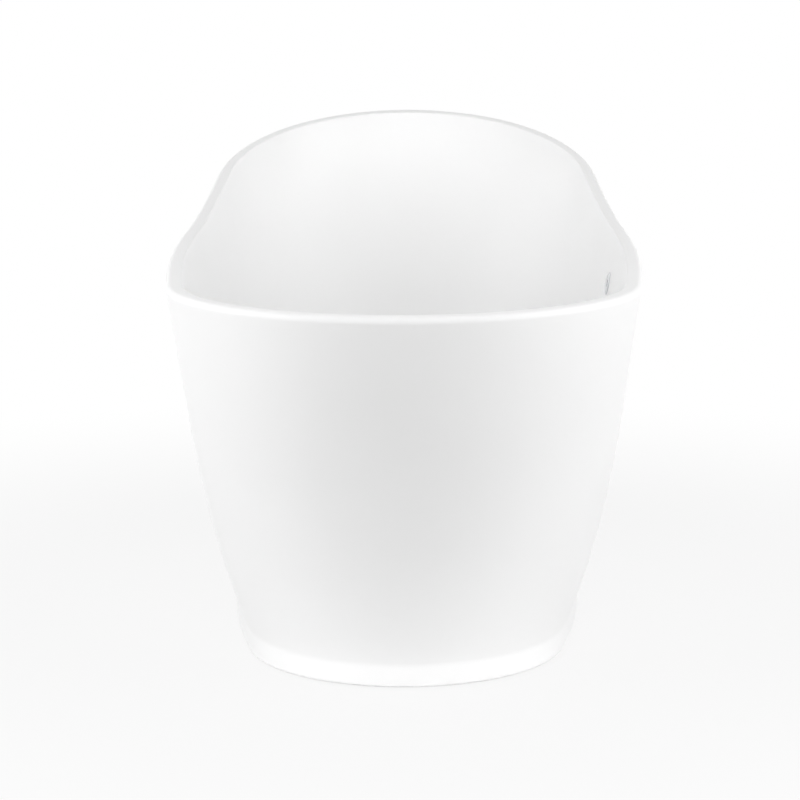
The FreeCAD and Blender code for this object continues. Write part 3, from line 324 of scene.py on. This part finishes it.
def zinc_plate():
    """Bright zinc-plated steel: slightly blue metal, fairly smooth, dulled by handling."""
    material, tree, shader, place = new_material("bright_zinc_plated_steel")
    touch = add(tree, "ShaderNodeTexNoise", {"Vector": place, "Scale": per_mm(12), "Detail": 5.0})
    stops = [(0.3, linear("#b4b7ba")), (0.7, linear("#d3d6d8"))]
    tone = add(tree, "ShaderNodeValToRGB", {"Fac": touch}, stops)
    rough = add(tree, "ShaderNodeMapRange", {"Value": touch, "To Min": 0.2, "To Max": 0.38})
    feed(tree, shader, {"Base Color": tone, "Metallic": 1.0, "Roughness": rough})
    return material


# The tub's walls, as points in millimetres


def through(levels, sizes, z):
    """The cubic through four sizes at four levels."""
    total = 0.0
    for i, size in enumerate(sizes):
        term = np.full_like(z, size, dtype=float)
        for j, level in enumerate(levels):
            if j != i:
                term = term * (z - level) / (levels[i] - level)
        total = total + term
    return total


def rim_height(y):
    """The rim's level along the tub: flat, a round bend, then a straight rise."""
    slope = math.atan2(RIM_HIGH - RIM_LOW, HEAD_TIP - RISE_START)
    radius = RISE_BEND / math.tan(slope / 2)
    start = RISE_START - RISE_BEND
    end = RISE_START + RISE_BEND * math.cos(slope)
    along = np.clip(y - start, 0, None)
    on_bend = RIM_LOW + radius - np.sqrt(np.maximum(radius**2 - along**2, 0))
    on_rise = RIM_LOW + (y - RISE_START) * math.tan(slope)
    return np.where(y < start, RIM_LOW, np.where(y > end, on_rise, on_bend))


def turns():
    """Even steps of the turn u round the tub, 0 at the right side and 1/4 at the head."""
    return np.arange(STATIONS) / STATIONS


def oval_points(half_width, foot, head, end_radius, u):
    """Points at turns u of an oval, whose side arcs run tangent into its end arcs."""
    u = u % 1
    quarter = np.floor(u * 4).astype(int) % 4
    toward_head = (quarter == 0) | (quarter == 1)
    right = (quarter == 0) | (quarter == 3)
    share = np.where(
        right, np.where(toward_head, u * 4, 4 - u * 4), np.where(toward_head, 2 - u * 4, u * 4 - 2)
    )
    reach = np.where(toward_head, head - WIDEST, foot + WIDEST) - end_radius
    side_radius = (reach**2 + half_width**2 - end_radius**2) / (2 * (half_width - end_radius))
    sweep = np.arctan2(reach, side_radius - half_width)
    side_length, end_length = side_radius * sweep, end_radius * (np.pi / 2 - sweep)
    along = share * (side_length + end_length)
    on_side = along < side_length
    angle = np.where(on_side, along / side_radius, sweep + (along - side_length) / end_radius)
    side_x = half_width - side_radius + side_radius * np.cos(angle)
    side_y = side_radius * np.sin(angle)
    x = np.where(on_side, side_x, end_radius * np.cos(angle))
    y = np.where(on_side, side_y, reach + end_radius * np.sin(angle))
    return np.where(right, x, -x), WIDEST + np.where(toward_head, y, -y)


def wall_points(form, inset, z, u):
    """Points of a wall at level z, one number or one for each u, drawn in by an inset."""
    z = np.broadcast_to(np.asarray(z, float), u.shape)
    sizes = [
        through(form["level"], form[name], z) - inset
        for name in ("half_width", "foot", "head", "end_radius")
    ]
    x, y = oval_points(*sizes, u)
    return np.stack([x, y, z], axis=1)


def at_rim(form, inset, u, drop=0):
    """Where a wall meets the rim's line lowered by a drop, found by halving at each turn."""
    low = np.full(u.shape, RIM_LEVELS[0])
    high = np.full(u.shape, RIM_LEVELS[1])
    for _ in range(HALVINGS):
        middle = (low + high) / 2
        points = wall_points(form, inset, middle, u)
        above = points[:, 2] > rim_height(points[:, 1]) - drop
        high = np.where(above, middle, high)
        low = np.where(above, low, middle)
    return wall_points(form, inset, (low + high) / 2, u)


def at_level(points, level):
    """The same points moved up or down to one level."""
    return np.column_stack([points[:, :2], np.full(len(points), level)])


def wall_rows(form, inset, bottom, top, u, count):
    """Rows up a wall, from a level to just short of the points at its top."""
    shares = [k / count for k in range(count)]
    return [wall_points(form, inset, bottom + (top[:, 2] - bottom) * s, u) for s in shares]


def rows_above(rows, level):
    """The rows that lie wholly above a level."""
    return [row for row in rows if row[:, 2].min() > level]


def between(a, b, shares):
    """Rows at these shares of the straight way from row a to row b."""
    return [a + (b - a) * share for share in shares]


def unit(vectors):
    """Rows of vectors, each brought to length 1."""
    return vectors / np.linalg.norm(vectors, axis=1, keepdims=True)


def rounded(corner, before, after, radius, steps):
    """Rows of an arc that rounds each corner between its neighbours before and after."""
    to_before, to_after = unit(before - corner), unit(after - corner)
    angle = np.arccos(np.clip((to_before * to_after).sum(axis=1), -1, 1))[:, None]
    reach = radius / np.tan(angle / 2)
    centre = corner + unit(to_before + to_after) * (radius / np.sin(angle / 2))
    start, end = corner + to_before * reach - centre, corner + to_after * reach - centre
    turn = np.pi - angle
    rows = []
    for share in [k / steps for k in range(steps + 1)]:
        start_weight = np.sin((1 - share) * turn) / np.sin(turn)
        end_weight = np.sin(share * turn) / np.sin(turn)
        rows.append(centre + start * start_weight + end * end_weight)
    return rows


def waste_ring(row):
    """The waste hole's edge, with a point toward each point of a row round it."""
    angle = np.arctan2(row[:, 1] - WASTE_STATION, row[:, 0])
    x = WASTE_RADIUS * np.cos(angle)
    y = WASTE_STATION + WASTE_RADIUS * np.sin(angle)
    return np.stack([x, y, row[:, 2]], axis=1)


def overflow_frame():
    """The middle of the overflow's hole on the bath's wall, and the way into the bath there."""
    z = OVERFLOW_LEVEL + np.array([-1.0, 0.0, 1.0])
    u = np.zeros(3)
    for _ in range(OVERFLOW_STEPS):
        u = u + (OVERFLOW_STATION - wall_points(INNER, 0, z, u)[:, 1]) / GIRTH
    below, middle, above = wall_points(INNER, 0, z, u)
    tilt = math.atan2(above[0] - below[0], above[2] - below[2])
    return Vector(middle) * MM, Vector((-math.cos(tilt), 0, math.sin(tilt)))


# The shells' skins. Each is a list of (material index, rows) pairs, whose rows follow one another
# round the shell's section; a row's index goes to the strip after it. A round between floor or
# plinth and wall takes the wall's direction from a row some way up.

ACRYLIC, LAMINATE = 0, 1


def bath_skin():
    """From the waste hole up the inside, over the rim, and back down the outside to the hole."""
    u = turns()
    inner_edge = at_rim(INNER, 0, u)
    outer_edge = at_rim(OUTER, 0, u)
    lip = at_rim(OUTER, 0, u, LIP)

    wall = wall_rows(INNER, 0, BATH_FLOOR, inner_edge, u, WALL_ROWS)
    hole = waste_ring(wall[0])
    floor_round = rounded(wall[0], hole, wall[20], FLOOR_ROUND, steps=14)
    inner_round = rounded(inner_edge, wall[-1], outer_edge, INNER_RIM_ROUND, steps=6)
    outer_round = rounded(outer_edge, inner_edge, lip, OUTER_RIM_ROUND, steps=10)
    wall_from = floor_round[-1][:, 2].max() + ROUND_GAP
    climb = wall_rows(INNER, 0, wall_from, inner_round[0], u, CLIMB_ROWS)

    lip_inside = at_rim(OUTER, RIM_SHELL, u, LIP)
    rim_underside = at_rim(OUTER, RIM_SHELL, u, RIM_SHELL)
    back_top = at_rim(INNER, -SHELL, u, RIM_SHELL)
    back = wall_rows(INNER, -SHELL, BATH_UNDERSIDE, back_top, u, BACK_ROWS)
    hole_below = at_level(hole, BATH_UNDERSIDE)
    back_round = rounded(back[0], hole_below, back[14], UNDERSIDE_ROUND, steps=10)
    back_wall = rows_above(back, back_round[-1][:, 2].max() + ROUND_GAP)

    return [
        (ACRYLIC, [hole, *between(hole, floor_round[0], (0.25, 0.5, 0.75, 0.95))]),
        (ACRYLIC, [*floor_round, *climb, *inner_round]),
        (ACRYLIC, between(inner_round[-1], outer_round[0], (0.04, 0.33, 0.66, 0.96))),
        (ACRYLIC, [*outer_round, *between(outer_round[-1], lip, (0.1, 0.9, 1.0))]),
        (LAMINATE, [lip_inside, rim_underside, back_top]),
        (LAMINATE, [*back_wall[::-1], *back_round[::-1], hole_below]),
    ]


def skirt_skin():
    """From the top down the outside and the plinth, round its foot and up the inside."""
    u = turns()
    top = at_rim(OUTER, 0, u, LIP)
    top_inside = at_rim(OUTER, SHELL, u, LIP)
    crease = wall_points(OUTER, 0, PLINTH_TOP, u)
    foot = at_level(crease, SKIRT_FOOT)
    foot_inside = at_level(wall_points(OUTER, SHELL, PLINTH_TOP, u), SKIRT_FOOT)

    wall = wall_rows(OUTER, 0, PLINTH_TOP, top, u, SKIRT_ROWS)
    crease_round = rounded(crease, foot, wall[8], CREASE_ROUND, steps=6)
    foot_round = rounded(foot, crease, foot_inside, FOOT_ROUND, steps=6)
    outside = rows_above(wall, crease_round[-1][:, 2].max() + CREASE_GAP)
    inside = wall_rows(OUTER, SHELL, PLINTH_TOP, top_inside, u, BACK_ROWS)

    return [
        (ACRYLIC, [top, *outside[::-1], *crease_round[::-1]]),
        (ACRYLIC, between(crease_round[0], foot_round[0], (0.1, 0.5, 0.95))),
        (ACRYLIC, [*foot_round, foot_inside]),
        (LAMINATE, inside),
        (ACRYLIC, [top_inside]),
    ]


def closed_mesh(name, skin):
    """An object over a skin's rows, whose last row joins the first."""
    rows = [row for _, part in skin for row in part]
    slots = [slot for slot, part in skin for _ in part]
    faces, indices = [], []
    for r, slot in enumerate(slots):
        here, following = r * STATIONS, (r + 1) % len(rows) * STATIONS
        for s in range(STATIONS):
            t = (s + 1) % STATIONS
            faces.append((here + s, here + t, following + t, following + s))
            indices.append(slot)
    mesh = bpy.data.meshes.new(name)
    mesh.from_pydata((np.concatenate(rows) * MM).tolist(), [], faces)
    mesh.polygons.foreach_set("material_index", indices)
    obj = bpy.data.objects.new(name, mesh)
    bpy.context.scene.collection.objects.link(obj)
    work = bmesh.new()
    work.from_mesh(mesh)
    bmesh.ops.recalc_face_normals(work, faces=work.faces)
    work.to_mesh(mesh)
    work.free()
    mesh.shade_smooth()
    mesh.set_sharp_from_angle(angle=math.radians(SHARP_EDGE))
    return obj


def keep_evaluated(obj):
    """Replaces an object's mesh by what its modifiers make of it, and drops them."""
    whole = bpy.data.meshes.new_from_object(
        obj.evaluated_get(bpy.context.evaluated_depsgraph_get())
    )
    obj.modifiers.clear()
    obj.data = whole


def cut_round_hole(obj, middle, direction, radius):
    """Cuts a round hole through a shell along a direction."""
    length = CUTTER_LENGTH * MM
    work = bmesh.new()
    bmesh.ops.create_cone(
        work, cap_ends=True, segments=64, radius1=radius, radius2=radius, depth=length
    )
    turn = direction.to_track_quat("Z", "Y").to_matrix().to_4x4()
    turn.translation = middle
    bmesh.ops.transform(work, matrix=turn, verts=work.verts)
    mesh = bpy.data.meshes.new("cutter")
    work.to_mesh(mesh)
    work.free()
    cutter = bpy.data.objects.new("cutter", mesh)
    bpy.context.scene.collection.objects.link(cutter)
    cut = obj.modifiers.new("hole", "BOOLEAN")
    cut.operation = "DIFFERENCE"
    cut.solver = "EXACT"
    cut.object = cutter
    keep_evaluated(obj)
    bpy.data.objects.remove(cutter)


def finish_shell(obj, node):
    """Gives a shell its materials and its body, and hides the CAD node that it stands for."""
    obj.data.materials.append(MATERIALS["acrylic"])
    obj.data.materials.append(MATERIALS["laminate"])
    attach(obj, "tub")
    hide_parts(node)


# Repeated details, made by Geometry Nodes


def node_group(name, inputs):
    """A Geometry Nodes group with named inputs, each a (name, socket type, default) triple."""
    group = bpy.data.node_groups.new(name, "GeometryNodeTree")
    sockets = group.interface
    sockets.new_socket(name="Geometry", in_out="OUTPUT", socket_type="NodeSocketGeometry")
    for label, kind, default in inputs:
        socket = sockets.new_socket(name=label, in_out="INPUT", socket_type=kind)
        if default is not None:
            socket.default_value = default
    return group, add(group, "NodeGroupInput").outputs


def finish_group(group, geometry, material):
    """Realizes what a group has made, gives it the material and sends it out."""
    real = add(group, "GeometryNodeRealizeInstances", {"Geometry": geometry})
    dressed = add(group, "GeometryNodeSetMaterial", {"Geometry": real, "Material": material})
    smooth = add(group, "GeometryNodeSetShadeSmooth", {"Geometry": dressed})
    add(group, "NodeGroupOutput", {"Geometry": smooth})
    return group


def thread_group():
    """A screw thread: a ridge that winds up a rod at an even pitch."""
    group, given = node_group(
        "screw_thread",
        [
            ("Foot", "NodeSocketVector", (0.0, 0.0, 0.0)),
            ("Length", "NodeSocketFloat", 0.06),
            ("Radius", "NodeSocketFloat", 0.006),
            ("Pitch", "NodeSocketFloat", 0.00175),
            ("Ridge", "NodeSocketFloat", 0.00025),
            ("Material", "NodeSocketMaterial", None),
        ],
    )
    inputs = {0: given["Length"], 1: given["Pitch"]}
    rotations = add(group, "ShaderNodeMath", inputs, operation="DIVIDE")
    inputs = {
        "Resolution": 40,
        "Rotations": rotations,
        "Start Radius": given["Radius"],
        "End Radius": given["Radius"],
        "Height": given["Length"],
    }
    helix = add(group, "GeometryNodeCurveSpiral", inputs)
    inputs = {"Resolution": 4, "Radius": given["Ridge"]}
    ridge = add(group, "GeometryNodeCurvePrimitiveCircle", inputs)
    inputs = {"Curve": helix, "Profile Curve": ridge, "Fill Caps": True}
    solid = add(group, "GeometryNodeCurveToMesh", inputs)
    inputs = {"Geometry": solid, "Translation": given["Foot"]}
    moved = add(group, "GeometryNodeTransform", inputs)
    return finish_group(group, moved, given["Material"])


def grip_group():
    """Grip ribs: equal bars in a ring about an axis."""
    group, given = node_group(
        "grip_ribs",
        [
            ("Middle", "NodeSocketVector", (0.0, 0.0, 0.0)),
            ("Turn", "NodeSocketVector", (0.0, 0.0, 0.0)),
            ("Radius", "NodeSocketFloat", 0.03),
            ("Count", "NodeSocketInt", 24),
            ("Rib", "NodeSocketVector", (0.0016, 0.0024, 0.012)),
            ("Material", "NodeSocketMaterial", None),
        ],
    )
    inputs = {"Vertices": given["Count"], "Radius": given["Radius"]}
    circle = add(group, "GeometryNodeMeshCircle", inputs)
    bar = add(group, "GeometryNodeMeshCube", {"Size": given["Rib"]})
    place = add(group, "GeometryNodeInputPosition")
    outward = add(group, "FunctionNodeAlignRotationToVector", {"Vector": place}, axis="X")
    inputs = {"Points": circle, "Instance": bar, "Rotation": outward}
    ribs = add(group, "GeometryNodeInstanceOnPoints", inputs)
    inputs = {"Geometry": ribs, "Translation": given["Middle"], "Rotation": given["Turn"]}
    moved = add(group, "GeometryNodeTransform", inputs)
    return finish_group(group, moved, given["Material"])


def grown(name, group, values):
    """A plain mesh object made by a node group with these input values."""
    obj = bpy.data.objects.new(name, bpy.data.meshes.new(name))
    bpy.context.scene.collection.objects.link(obj)
    modifier = obj.modifiers.new(name, "NODES")
    modifier.node_group = group
    for item in group.interface.items_tree:
        if item.item_type == "SOCKET" and item.in_out == "INPUT" and item.name in values:
            modifier[item.identifier] = values[item.name]
    obj.update_tag()
    keep_evaluated(obj)
    return obj


# Stage


def seen_directly(tree):
    """1 for rays that end in the camera, also by way of metal or glass, and 0 for rays that
    light the object."""
    path = add(tree, "ShaderNodeLightPath")
    seen = path.outputs["Is Camera Ray"]
    for name in ("Is Glossy Ray", "Is Transmission Ray"):
        seen = add(tree, "ShaderNodeMath", {0: seen, 1: path.outputs[name]}, operation="MAXIMUM")
    return seen


def studio_floor(colour, shadow):
    """A white studio floor: it holds a soft shadow by the tub and fades to plain white."""
    material, tree, shader, place = new_material("white_studio_floor")
    feed(tree, shader, {"Base Color": colour, "Roughness": 0.9, "Specular IOR Level": 0.0})
    distance = add(tree, "ShaderNodeVectorMath", {0: place}, operation="LENGTH").outputs["Value"]
    inputs = {
        "Value": distance,
        "From Min": SHADOW_FROM,
        "From Max": SHADOW_TO,
        "To Min": 1.0 - shadow,
        "To Max": 1.0,
    }
    fade = add(tree, "ShaderNodeMapRange", inputs, interpolation_type="SMOOTHSTEP")
    share = add(tree, "ShaderNodeMath", {0: fade, 1: seen_directly(tree)}, operation="MULTIPLY")
    white = add(tree, "ShaderNodeEmission", {"Color": WHITE, "Strength": 1.0})
    mix = add(tree, "ShaderNodeMixShader", {0: share, 1: shader, 2: white})
    feed(tree, tree.nodes["Material Output"], {"Surface": mix})
    return material


def white_room(level, sides):
    """White room light on a plain white background. The light dims toward the two sides, to this
    share of its level."""
    world = bpy.data.worlds.new("white_room")
    world.use_nodes = True
    tree = world.node_tree
    tree.nodes.clear()
    toward = add(tree, "ShaderNodeTexCoord").outputs["Generated"]
    across = add(tree, "ShaderNodeSeparateXYZ", {"Vector": toward}).outputs["X"]
    squared = add(tree, "ShaderNodeMath", {0: across, 1: across}, operation="MULTIPLY")
    inputs = {"Value": squared, "To Min": level, "To Max": level * sides}
    strength = add(tree, "ShaderNodeMapRange", inputs)
    room = add(tree, "ShaderNodeBackground", {"Color": WHITE, "Strength": strength})
    white = add(tree, "ShaderNodeBackground", {"Color": WHITE, "Strength": 1.0})
    mix = add(tree, "ShaderNodeMixShader", {0: seen_directly(tree), 1: room, 2: white})
    add(tree, "ShaderNodeOutputWorld", {"Surface": mix})
    return world


def softbox(name, place, aim, size, beam, power):
    """A rectangular lamp that mirrors don't show."""
    lamp = bpy.data.lights.new(name, "AREA")
    lamp.shape = "RECTANGLE"
    lamp.size, lamp.size_y = size
    lamp.spread = math.radians(beam)
    lamp.energy = power
    obj = bpy.data.objects.new(name, lamp)
    obj.location = place
    obj.rotation_euler = (Vector(aim) - Vector(place)).to_track_quat("-Z", "Y").to_euler()
    obj.visible_glossy = False
    bpy.context.scene.collection.objects.link(obj)


def photo_camera(lens):
    """A camera at the photograph's place and angle."""
    yaw, pitch = math.radians(CAMERA_YAW), math.radians(CAMERA_PITCH)
    level = math.cos(pitch)
    forward = Vector((math.sin(yaw) * level, math.cos(yaw) * level, -math.sin(pitch)))
    camera = bpy.data.cameras.new("camera")
    camera.sensor_width = CAMERA_SENSOR
    camera.lens = lens
    camera.shift_x, camera.shift_y = CAMERA_SHIFT
    obj = bpy.data.objects.new("camera", camera)
    obj.location = CAMERA_PLACE
    obj.rotation_euler = forward.to_track_quat("-Z", "Y").to_euler()
    bpy.context.scene.collection.objects.link(obj)
    return obj


# Settings


class TubSettings(bpy.types.PropertyGroup):
    """Colours and details of the tub that a user would change."""

    acrylic: bpy.props.FloatVectorProperty(
        name="Acrylic",
        description="White of the shells",
        default=linear("#fafafa"),
        size=4,
        min=0.0,
        max=1.0,
        subtype="COLOR",
    )
    chrome: bpy.props.FloatVectorProperty(
        name="Chrome",
        description="Tint of the chrome trim",
        default=linear("#dfe1e3"),
        size=4,
        min=0.0,
        max=1.0,
        subtype="COLOR",
    )
    pipe: bpy.props.FloatVectorProperty(
        name="Pipework",
        description="Colour of the plastic pipework",
        default=linear("#e6e6e2"),
        size=4,
        min=0.0,
        max=1.0,
        subtype="COLOR",
    )
    pitch: bpy.props.FloatProperty(
        name="Thread pitch",
        description="Rise of a foot's thread in one turn",
        default=0.00175,
        min=0.0005,
        unit="LENGTH",
        precision=5,
    )
    ribs: bpy.props.IntProperty(
        name="Grip ribs",
        description="Ribs round each slip nut",
        default=24,
        min=6,
        max=60,
    )


class StageSettings(bpy.types.PropertyGroup):
    """Floor, lamps and lens of the stage."""

    floor: bpy.props.FloatVectorProperty(
        name="Floor",
        description="Colour of the floor",
        default=linear("#c8c8c8"),
        size=4,
        min=0.0,
        max=1.0,
        subtype="COLOR",
    )
    shadow: bpy.props.FloatProperty(
        name="Shadow",
        description="How much of the floor's shadow shows",
        default=0.13,
        min=0.0,
        max=1.0,
        subtype="FACTOR",
    )
    side_light: bpy.props.FloatProperty(
        name="Side lamps",
        description="Power of each side softbox",
        default=60.0,
        min=0.0,
        unit="POWER",
    )
    front_light: bpy.props.FloatProperty(
        name="Front lamp",
        description="Power of the front softbox, whose narrow beam stays low on the tub",
        default=18.0,
        min=0.0,
        unit="POWER",
    )
    top_light: bpy.props.FloatProperty(
        name="Top lamp",
        description="Power of the softbox over the bath",
        default=4.5,
        min=0.0,
        unit="POWER",
    )
    world_level: bpy.props.FloatProperty(
        name="Room light",
        description="Strength of the room light",
        default=0.33,
        min=0.0,
        soft_max=2.0,
    )
    world_sides: bpy.props.FloatProperty(
        name="Room sides",
        description="Share of the room light that the two sides give",
        default=0.4,
        min=0.0,
        max=1.0,
        subtype="FACTOR",
    )
    lens: bpy.props.FloatProperty(
        name="Lens",
        description="Focal length of the camera",
        default=112.14,
        min=1.0,
        unit="CAMERA",
    )


# Operators


class TUB_OT_basin(bpy.types.Operator):
    """Bath with its rolled rim, as one smooth closed shell"""

    bl_idname = "tub.basin"
    bl_label = "Basin"

    def execute(self, context):
        basin = closed_mesh("basin_skin", bath_skin())
        middle, into_bath = overflow_frame()
        cut_round_hole(basin, middle, into_bath, OVERFLOW_RADIUS * MM)
        finish_shell(basin, "basin_shell")
        return {"FINISHED"}


class TUB_OT_skirt(bpy.types.Operator):
    """Outer skirt with its upright plinth, as one smooth closed shell"""

    bl_idname = "tub.skirt"
    bl_label = "Skirt"

    def execute(self, context):
        finish_shell(closed_mesh("skirt_skin", skirt_skin()), "outer_skirt")
        return {"FINISHED"}


class TUB_OT_finishes(bpy.types.Operator):
    """Finishes of the carried-over parts: waste, overflow, pipework, frame and feet"""

    bl_idname = "tub.finishes"
    bl_label = "Finishes"

    def execute(self, context):
        finishes = {part["node"]: part["material_slot"] for part in frame["record"]["subparts"]}
        for name, obj in frame["nodes"].items():
            material = MATERIALS.get(finishes[name])
            if material:
                for slot in obj.material_slots:
                    slot.material = material
        return {"FINISHED"}


class TUB_OT_threads(bpy.types.Operator):
    """Rolled threads on the studs of the four levelling feet"""

    bl_idname = "tub.threads"
    bl_label = "Threads"

    def execute(self, context):
        group = thread_group()
        for foot in FEET:
            low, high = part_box(f"foot_stud_{foot}")
            start, end = low[2] + THREAD_FROM * MM, high[2] - THREAD_SHORT * MM
            values = {
                "Foot": ((low[0] + high[0]) / 2, (low[1] + high[1]) / 2, start),
                "Length": end - start,
                "Radius": STUD_RADIUS * MM,
                "Pitch": context.scene.tub.pitch,
                "Ridge": THREAD_RIDGE * MM,
                "Material": MATERIALS["zinc_steel"],
            }
            thread = grown(f"thread_{foot}", group, values)
            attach(thread, f"{foot}_levelling_foot")
        return {"FINISHED"}


class TUB_OT_grips(bpy.types.Operator):
    """Moulded grip ribs round the two slip nuts of the waste"""

    bl_idname = "tub.grips"
    bl_label = "Grip ribs"

    def execute(self, context):
        group = grip_group()
        count = context.scene.tub.ribs
        for node, turn in (("tail_nut", (0.0, 0.0, 0.0)), ("branch_nut", (0.0, math.pi / 2, 0.0))):
            low, high = (Vector(corner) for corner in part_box(node))
            size = high - low
            length = size.x if turn[1] else size.z  # the branch nut lies along X
            width = RIB_SHARE * size.y * math.pi / count
            values = {
                "Middle": tuple((low + high) / 2),
                "Turn": turn,
                "Radius": size.y / 2,
                "Count": count,
                "Rib": (RIB_DEPTH * MM, width, length - RIB_SHORT * MM),
                "Material": MATERIALS["white_pipe"],
            }
            ribs = grown(f"{node}_ribs", group, values)
            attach(ribs, "tub")
        return {"FINISHED"}


class TUB_OT_stage(bpy.types.Operator):
    """Pale floor, softboxes, room light and the camera at the photograph's angle"""

    bl_idname = "tub.stage"
    bl_label = "Stage"

    def execute(self, context):
        settings = context.scene.tub_stage
        scene = context.scene
        scene.view_settings.view_transform = "Standard"

        mesh = bpy.data.meshes.new("floor")
        corners = [
            (x * FLOOR_REACH, y * FLOOR_REACH, FLOOR_LEVEL)
            for x, y in ((-1, -1), (1, -1), (1, 1), (-1, 1))
        ]
        mesh.from_pydata(corners, [], [(0, 1, 2, 3)])
        mesh.materials.append(studio_floor(tuple(settings.floor), settings.shadow))
        floor = bpy.data.objects.new("floor", mesh)
        scene.collection.objects.link(floor)

        scene.world = white_room(settings.world_level, settings.world_sides)
        for *place_and_form, setting in SOFTBOXES:
            softbox(*place_and_form, getattr(settings, setting))
        scene.camera = photo_camera(settings.lens)
        return {"FINISHED"}


class TUB_PT_panel(bpy.types.Panel):
    """The tub's settings and a button for each piece"""

    bl_idname = "TUB_PT_panel"
    bl_label = "Soaking tub"
    bl_space_type = "VIEW_3D"
    bl_region_type = "UI"
    bl_category = "Tub"

    def draw(self, context):
        for settings in (context.scene.tub, context.scene.tub_stage):
            for name in settings.__annotations__:
                self.layout.prop(settings, name)
        for operator in OPERATORS:
            self.layout.operator(operator.bl_idname)


OPERATORS = (
    TUB_OT_basin,
    TUB_OT_skirt,
    TUB_OT_finishes,
    TUB_OT_threads,
    TUB_OT_grips,
    TUB_OT_stage,
)
CLASSES = (TubSettings, StageSettings, *OPERATORS, TUB_PT_panel)


def register():
    """Makes the settings, operators and panel known to the scene."""
    for cls in CLASSES:
        bpy.utils.register_class(cls)
    bpy.types.Scene.tub = bpy.props.PointerProperty(type=TubSettings)
    bpy.types.Scene.tub_stage = bpy.props.PointerProperty(type=StageSettings)


def unregister():
    """Takes them away again, in the opposite order."""
    del bpy.types.Scene.tub_stage
    del bpy.types.Scene.tub
    for cls in reversed(CLASSES):
        bpy.utils.unregister_class(cls)


def main():
    """Dresses the tub on its stage."""
    register()
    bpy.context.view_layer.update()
    tub = bpy.context.scene.tub
    MATERIALS.update(
        acrylic=sanitary_acrylic(tuple(tub.acrylic)),
        laminate=glass_fibre_laminate(),
        chrome=chrome_plate(tuple(tub.chrome)),
        brass=turned_brass(),
        rubber=rubber(),
        white_pipe=moulded_plastic("moulded_white_pipework", tuple(tub.pipe), 0.8, 0.42),
        foot_plastic=moulded_plastic("moulded_black_nylon", linear("#232325"), 0.7, 0.5),
        board=particle_board(),
        block_wood=planed_softwood(),
        frame_steel=powder_coat(),
        bracket_steel=galvanised_steel(),
        zinc_steel=zinc_plate(),
    )
    bpy.ops.tub.basin()
    bpy.ops.tub.skirt()
    bpy.ops.tub.finishes()
    bpy.ops.tub.threads()
    bpy.ops.tub.grips()
    bpy.ops.tub.stage()


if __name__ == "__main__":
    main()
